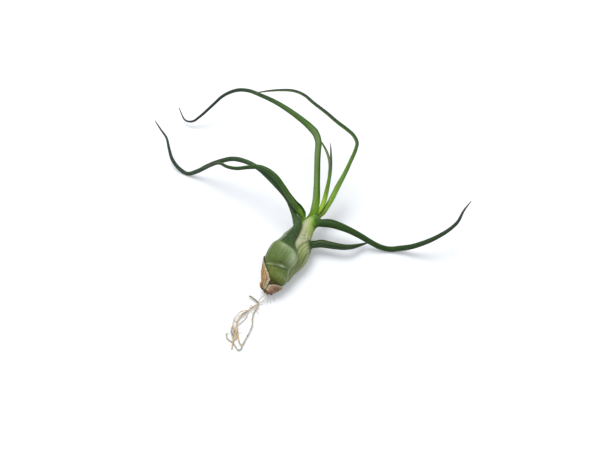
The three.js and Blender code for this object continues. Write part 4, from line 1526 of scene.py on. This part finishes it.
# From the outermost leaf to the innermost.
LEAVES = [
    Leaf(
        name="leaf_front", layer=7, slot="dark_leaf", turn=4,
        sheath=leaf_rows(
            NO_LIFT,
            (1.5, -50, 165, 150), (5, -50, 140, 135), (9, -50, 125, 120), (14, -52, 112, 88),
            (21, -54, 100, 80), (27, -55, 92, 61), (32, -54, 66, 36), (35, -52, 42, 24),
        ),
        blade=leaf_rows(
            FULL_ROLL,
            (3, 18.8, 18.4, 2.7, 122), (1.4, 23.6, 17.6, 1.75, 134), (0.4, 27.5, 17.2, 1.68, 140),
            (-2.2, 33, 19.8, 1.6), (-5.7, 36, 24.1, 1.55), (-10.4, 39.6, 28, 1.5),
            (-15.2, 44.2, 29.8, 1.5), (-20.5, 49.4, 30, 1.45), (-28.5, 55, 28.5, 1.45),
            (-36, 58.5, 25.5, 1.45), (-44, 59.5, 21, 1.4), (-51, 61, 14, 1.4),
            (-58.5, 62, 6, 1.35), (-65, 63.5, 1.1, 1.2), (-70, 66.5, 2.3, 1.15),
            (-74, 70.5, 6, 1.05), (-76, 76, 10, 0.88), (-77.5, 81.5, 13.5, 0.72),
            (-81, 86, 16, 0.58), (-84.5, 91, 18, 0.28),
        ),
        patches=(
            Wedge(Mark.DARK, 29.0, 60, (0.05, -1.2), (1.2, 1.4), 2.6, 0.24, 0.6),
            Wedge(Mark.DARK, 28.2, 38, (0.12, -0.5), (0.8, 0.96), 3.4, 0.28, 0.85),
            Patch(Mark.DARK, 27.4, 2.6, 0.62, 0.16, 0.7),
            Wedge(Mark.PALE, 13, 42, (-0.75, -1.0), (-0.26, 0.0), 3, 0.14, 0.75),
            Wedge(Mark.PALE, 17, 26, (0.88, 0.9), (1.1, 1.1), 3, 0.1, 0.6),
            # Silvery bloom with painted highlights on the ball.
            Patch(Mark.BLOOM_AND_HIGHLIGHT, 23.4, 2.6, 0.22, 0.26, 0.5),
            Patch(Mark.BLOOM_AND_HIGHLIGHT, 21.3, 3.4, 0.72, 0.22, 1.0),
            Patch(Mark.BLOOM_AND_HIGHLIGHT, 24.2, 1.6, 0.55, 0.3, 0.3),
            Patch(Mark.DARK, 26.4, 2.2, 0.25, 0.28, 0.5),
            # Bloom with a painted highlight on the lobe's right side.
            Patch(Mark.BLOOM_AND_HIGHLIGHT, 10.5, 1.3, 0.75, 0.3, 0.3),
            Patch(Mark.OLIVE, 13.6, 1.1, 0.35, 0.4, 0.55, slope=3.6),
            # Along the crease under the ball: a pale lip with a painted highlight on top, and
            # painted shade in the crease below it.
            Patch(Mark.BLOOM_AND_HIGHLIGHT, 12.3, 0.32, 0.0, 0.28, 0.7, slope=4.0),
            Patch(Mark.BLOOM_AND_HIGHLIGHT, 12.5, 0.55, 0.5, 0.15, 1.0, slope=4.0),
            Patch(Mark.PALE, 12.5, 0.4, 0.5, 0.12, 0.6, slope=4.0),
            Patch(Mark.OLIVE, 11.7, 0.42, 0.45, 0.5, 1.0, slope=4.0),
            Patch(Mark.DARK, 11.6, 0.5, 0.72, 0.2, 1.0, slope=4.2),
            # The lobe's darker olive bottom and left edge are the base's own colour deepened by
            # painted shade; its faint lighter middle is a painted highlight.
            Wedge(Mark.OLIVE, 0, 6.8, (-1.2, -1.2), (0.84, 0.84), 1.6, 0.1, 0.85),
            Patch(Mark.OLIVE, 7.6, 2.6, -0.02, 0.1, 0.8),
            Patch(Mark.BLOOM_AND_HIGHLIGHT, 9.6, 1.2, 0.42, 0.28, 0.12),
            Patch(Mark.PALE, 12.0, 4.5, 1.0, 0.12, 1.0),
        ),
        sheath_step=0.28,
    ),
    Leaf(
        name="leaf_lower_right", layer=6, slot="pale_sheath_leaf", turn=3,
        sheath=leaf_rows(
            NO_LIFT,
            (3, 120, 160, 165), (8, 120, 96, 150), (13, 120, 82, 138), (19, 120, 100, 126),
            (24, 118, 120, 108, 2), (27, 115, 118, 84, 5.2), (29.3, 111, 94, 60, 7),
            (31, 108, 68, 42, 6.2),
        ),
        blade=leaf_rows(
            FULL_ROLL,
            (13.5, 10.3, 8.1, 2.75, 112), (17.2, 10.2, 8.3, 2.6, 136), (21, 9.3, 8.4, 2.3),
            (26, 8.2, 8.5, 2.05), (30.5, 7.6, 8.4, 1.8), (35.5, 8.5, 7.2, 1.45),
            (40, 10.4, 5.8, 1), (45, 12.8, 4.2, 0.35),
        ),
        patches=(
            Patch(Mark.STAIN, 26, 3.0, -0.3, 0.4, 0.25),
            Patch(Mark.OLIVE, 19, 3.0, 0.3, 0.5, 0.4),
            Wedge(Mark.PALE, 27.5, 31, (-1.1, -1.1), (-0.4, -0.4), 1.0, 0.2, 0.7),
        ),
    ),
    Leaf(
        name="leaf_right", layer=5, slot="pale_sheath_leaf", turn=3,
        sheath=leaf_rows(
            NO_LIFT,
            (4.5, 80, 160, 160), (12, 80, 148, 148), (27, 75, 138, 138), (38, 72, 130, 126, 2),
            (43, 70, 110, 102, 5.4), (46, 70, 82, 78, 6.8),
        ),
        blade=leaf_rows(
            FULL_ROLL,
            (18, 20.8, 14.4, 2.65, 120), (23, 19.8, 15, 2.6, 145), (29, 17.8, 14.6, 2.3),
            (34.5, 16, 13, 2), (40.5, 14, 10.2, 1.8), (46.5, 12, 6.5, 1.7),
            (52.5, 10.5, 3.2, 1.65), (58.5, 10, 1.55, 1.65), (64.5, 9.5, 3.5, 1.7),
            (70.5, 8.6, 7, 1.6), (76, 8.6, 10.5, 1.5), (81.5, 9.2, 14, 1.4), (87, 10.8, 17, 1.25),
            (92.5, 13.5, 19.5, 1.1), (97, 17, 22, 0.95), (100.5, 22.5, 25.5, 0.65),
            (104.5, 27, 28, 0.28),
        ),
        patches=(
            Patch(Mark.STAIN, 38.5, 2.6, -0.3, 0.4, 0.75),
            Patch(Mark.STAIN, 33, 2.4, -0.1, 0.3, 0.5),
            Wedge(Mark.PALE, 34, 44.6, (-1.3, -1.3), (0.1, -0.55), 2.0, 0.2, 0.9),
            # A thin line of painted shade with a painted highlight just above it, for the crease
            # across the pale neck.
            Patch(Mark.OLIVE, 39.8, 0.3, -0.5, 0.3, 0.6, slope=5.4),
            Patch(Mark.BLOOM_AND_HIGHLIGHT, 40.6, 0.4, -0.5, 0.3, 0.5, slope=5.4),
            Patch(Mark.STAIN, 43.6, 1.0, -0.6, 0.3, 0.45, slope=3.0),
            Wedge(Mark.DARK, 47.4, 62, (-0.3, -1.3), (1.3, 1.3), 1.6, 0.3, 0.8),
        ),
        sheath_step=0.3,
    ),
    Leaf(
        name="leaf_left", layer=4, slot="dark_leaf", turn=2.2,
        sheath=leaf_rows(
            NO_LIFT,
            (6, -105, 155, 155), (12, -105, 142, 142), (27, -105, 124, 128), (36, -105, 108, 114),
            (42, -106, 84, 102), (46.5, -108, 44, 92, -0.5),
        ),
        blade=leaf_rows(
            FULL_ROLL,
            (6.15, 25.3, 16.6, 2.725, 121), (3.9, 27, 20.35, 2.5, 140),
            (1.2, 28.5, 24.2, 1.985, 148), (-2.2, 31.7, 28, 1.7), (-5.7, 35.7, 31.5, 1.65),
            (-9.2, 39.8, 34, 1.65), (-13.6, 43.5, 35.2, 1.6), (-19.5, 46.8, 34.8, 1.45),
            (-26.5, 49, 31, 1.25), (-33.5, 50.5, 27.5, 1.15), (-39, 53, 25.5, 1),
            (-43.5, 56, 24.5, 0.9), (-49, 57, 21, 0.75), (-54, 58.5, 15.5, 0.35),
        ),
        patches=(
            # Painted light: the lime wedge lightens the shaded inner wall near the blade's right
            # margin.
            Wedge(Mark.LIME, 44, 58, (0.35, 0.6), (1.3, 1.3), 2.0, 0.3, 0.7),
        ),
    ),
    Leaf(
        name="leaf_long", layer=3, slot="mid_leaf", turn=1.6,
        sheath=leaf_rows(
            NO_LIFT,
            (7.5, -60, 150, 150), (12, -60, 138, 138), (27, -60, 126, 126), (44, -60, 122, 118),
            (51, -62, 104, 90),
        ),
        blade=leaf_rows(
            FULL_ROLL,
            (13.6, 28.2, 16, 2.9, 96), (14.3, 33.7, 19, 2.3, 128), (14.6, 41, 24, 1.95),
            (14.8, 48, 29.5, 1.85), (15, 55, 35, 1.85), (15.4, 61.5, 40, 2),
            (13.7, 65.8, 42.3, 2.15), (11.2, 68.3, 43.8, 2.1), (7.6, 71.5, 45, 1.9),
            (-1.3, 79.3, 45.5, 1.6), (-9.7, 87, 43.5, 1.4), (-18.3, 94.7, 39.5, 1.25),
            (-27, 102.5, 34, 1.15), (-34.5, 106.3, 29, 1.1), (-42.5, 106.8, 23, 1),
            (-50, 104.5, 15.5, 0.9), (-58, 101, 8.5, 0.8), (-63, 99.7, 5, 0.7),
            (-67.5, 101, 4.5, 0.55), (-71.5, 108, 7.5, 0.28),
        ),
        patches=(
            Wedge(Mark.LIME, 50, 62, (-1.2, -1.2), (1.2, 1.2), 3.0, 0.3, 0.6),
            # A painted highlight down the middle of the blade, with painted shade along both
            # sides.
            Wedge(Mark.BLOOM_AND_HIGHLIGHT, 58, 104, (-0.12, 0.1), (0.45, 0.6), 8.0, 0.2, 0.4),
            Wedge(Mark.DARK, 62, 110, (-1.2, -1.2), (-0.2, -0.2), 5.0, 0.2, 0.7),
            Wedge(Mark.DARK, 62, 110, (0.72, 0.78), (1.3, 1.3), 5.0, 0.12, 0.6),
        ),
    ),
    Leaf(
        name="leaf_kinked", layer=2, slot="young_leaf", turn=2,
        sheath=leaf_rows(
            NO_LIFT,
            (9, 120, 150, 150), (12, 120, 138, 138), (27, 120, 124, 124), (42, 115, 118, 118),
            (48, 110, 102, 102),
        ),
        blade=leaf_rows(
            FULL_ROLL,
            (15.1, 26, 13.9, 2.2, 92), (18, 28, 14.6, 2, 98), (20.8, 31.2, 16.6, 1.75, 120),
            (23.5, 34.5, 19.5, 1.65, 140), (27, 40, 24, 1.6), (31, 46, 28.5, 1.35),
            (34.5, 52, 33, 1.2), (37.5, 58, 36.5, 1.15), (38.3, 62, 38, 1.15),
            (36.3, 66, 39.5, 1.1), (32.5, 69.2, 41, 1.15), (27, 72.5, 43.5, 1.1),
            (20, 78, 46, 1.05), (13, 84, 46.8, 1), (7, 90.3, 46.5, 0.95), (1, 94, 45.5, 0.88),
            (-6, 95.3, 44.5, 0.78), (-13.5, 95.5, 43.5, 0.62), (-21, 94.6, 43, 0.32),
        ),
        patches=(
            Wedge(Mark.LIME, 46, 60, (-1.2, -1.2), (1.2, 1.2), 4.0, 0.3, 0.4),
        ),
    ),
    Leaf(
        name="leaf_young_straight", layer=1, slot="young_leaf", turn=2,
        sheath=leaf_rows(
            NO_LIFT,
            (10.5, -10, 145, 145), (14, -10, 136, 136), (27, -10, 126, 126), (42, -10, 120, 120),
            (48, -10, 112, 112),
        ),
        blade=leaf_rows(
            FULL_ROLL,
            (14.2, 26.3, 14.5, 1.3, 98), (16.9, 29, 16.7, 1.25, 108), (18.8, 32.5, 19.2, 1.4, 120),
            (20.3, 37, 23, 1.3, 130), (21.7, 42, 28, 1.1, 145), (22.6, 46.5, 32, 0.95),
            (22.9, 51, 36, 0.75), (22.8, 55.3, 39, 0.5), (22.6, 59, 41, 0.22),
        ),
    ),
    Leaf(
        name="leaf_young_curved", layer=0, slot="young_leaf", turn=2,
        sheath=leaf_rows(
            NO_LIFT,
            (12, 170, 140, 140), (27, 170, 136, 136), (42, 170, 136, 136), (48, 170, 136, 136),
        ),
        blade=leaf_rows(
            FULL_ROLL,
            (14.3, 26.3, 13.7, 0.35, 140), (17.1, 29.8, 15.6, 0.45, 145), (19, 34, 18, 0.6),
            (20.5, 39, 21, 0.8), (22, 46, 25.8, 0.95), (22.4, 52, 29.5, 0.9),
            (21.5, 56.2, 31.5, 0.8), (20, 60, 33, 0.7), (18.3, 63, 34, 0.55),
            (16.8, 65.8, 34.5, 0.27),
        ),
    ),
]

SCALES = [
    Scale("scale_left", "dry_scale", np.array([
        [-0.6, -92, 62, 66, 0], [2.5, -90, 62, 66, 0], [4.8, -88, 62, 70, 0],
        [7, -90, 56, 54, 0], [9.5, -95, 46, 40, 0], [12, -101, 34, 30, 0],
        [14.5, -106, 19, 18, 0], [16.5, -109, 4, 6, 0],
    ]), 21, flare=(-88.0, 36.0, 2.0)),
    Scale("scale_right", "reddish_scale", np.array([
        [-0.6, 55, 72, 75, 0], [2, 55, 71, 72, 0], [3.2, 60, 62, 62, 0],
        [4.4, 66, 50, 52, 0], [5.4, 72, 34, 40, 0], [6.2, 76, 14, 18, 0],
    ]), 31),
]


def main() -> None:
    """Builds the plant and its studio; each piece logs its point and face counts."""
    logging.basicConfig(level=logging.INFO, format="%(name)s: %(message)s")
    for leaf in LEAVES:
        leaf.build(LEAF_FINISHES[leaf.name].material())
    for scale, finish in zip(SCALES, PAPER_FINISHES):
        scale.build(finish.material())
    Stem().build(STEM_FINISH.material())
    Roots().build(RootFinish("root_bark").material())
    Studio().build()


if __name__ == "__main__":
    main()
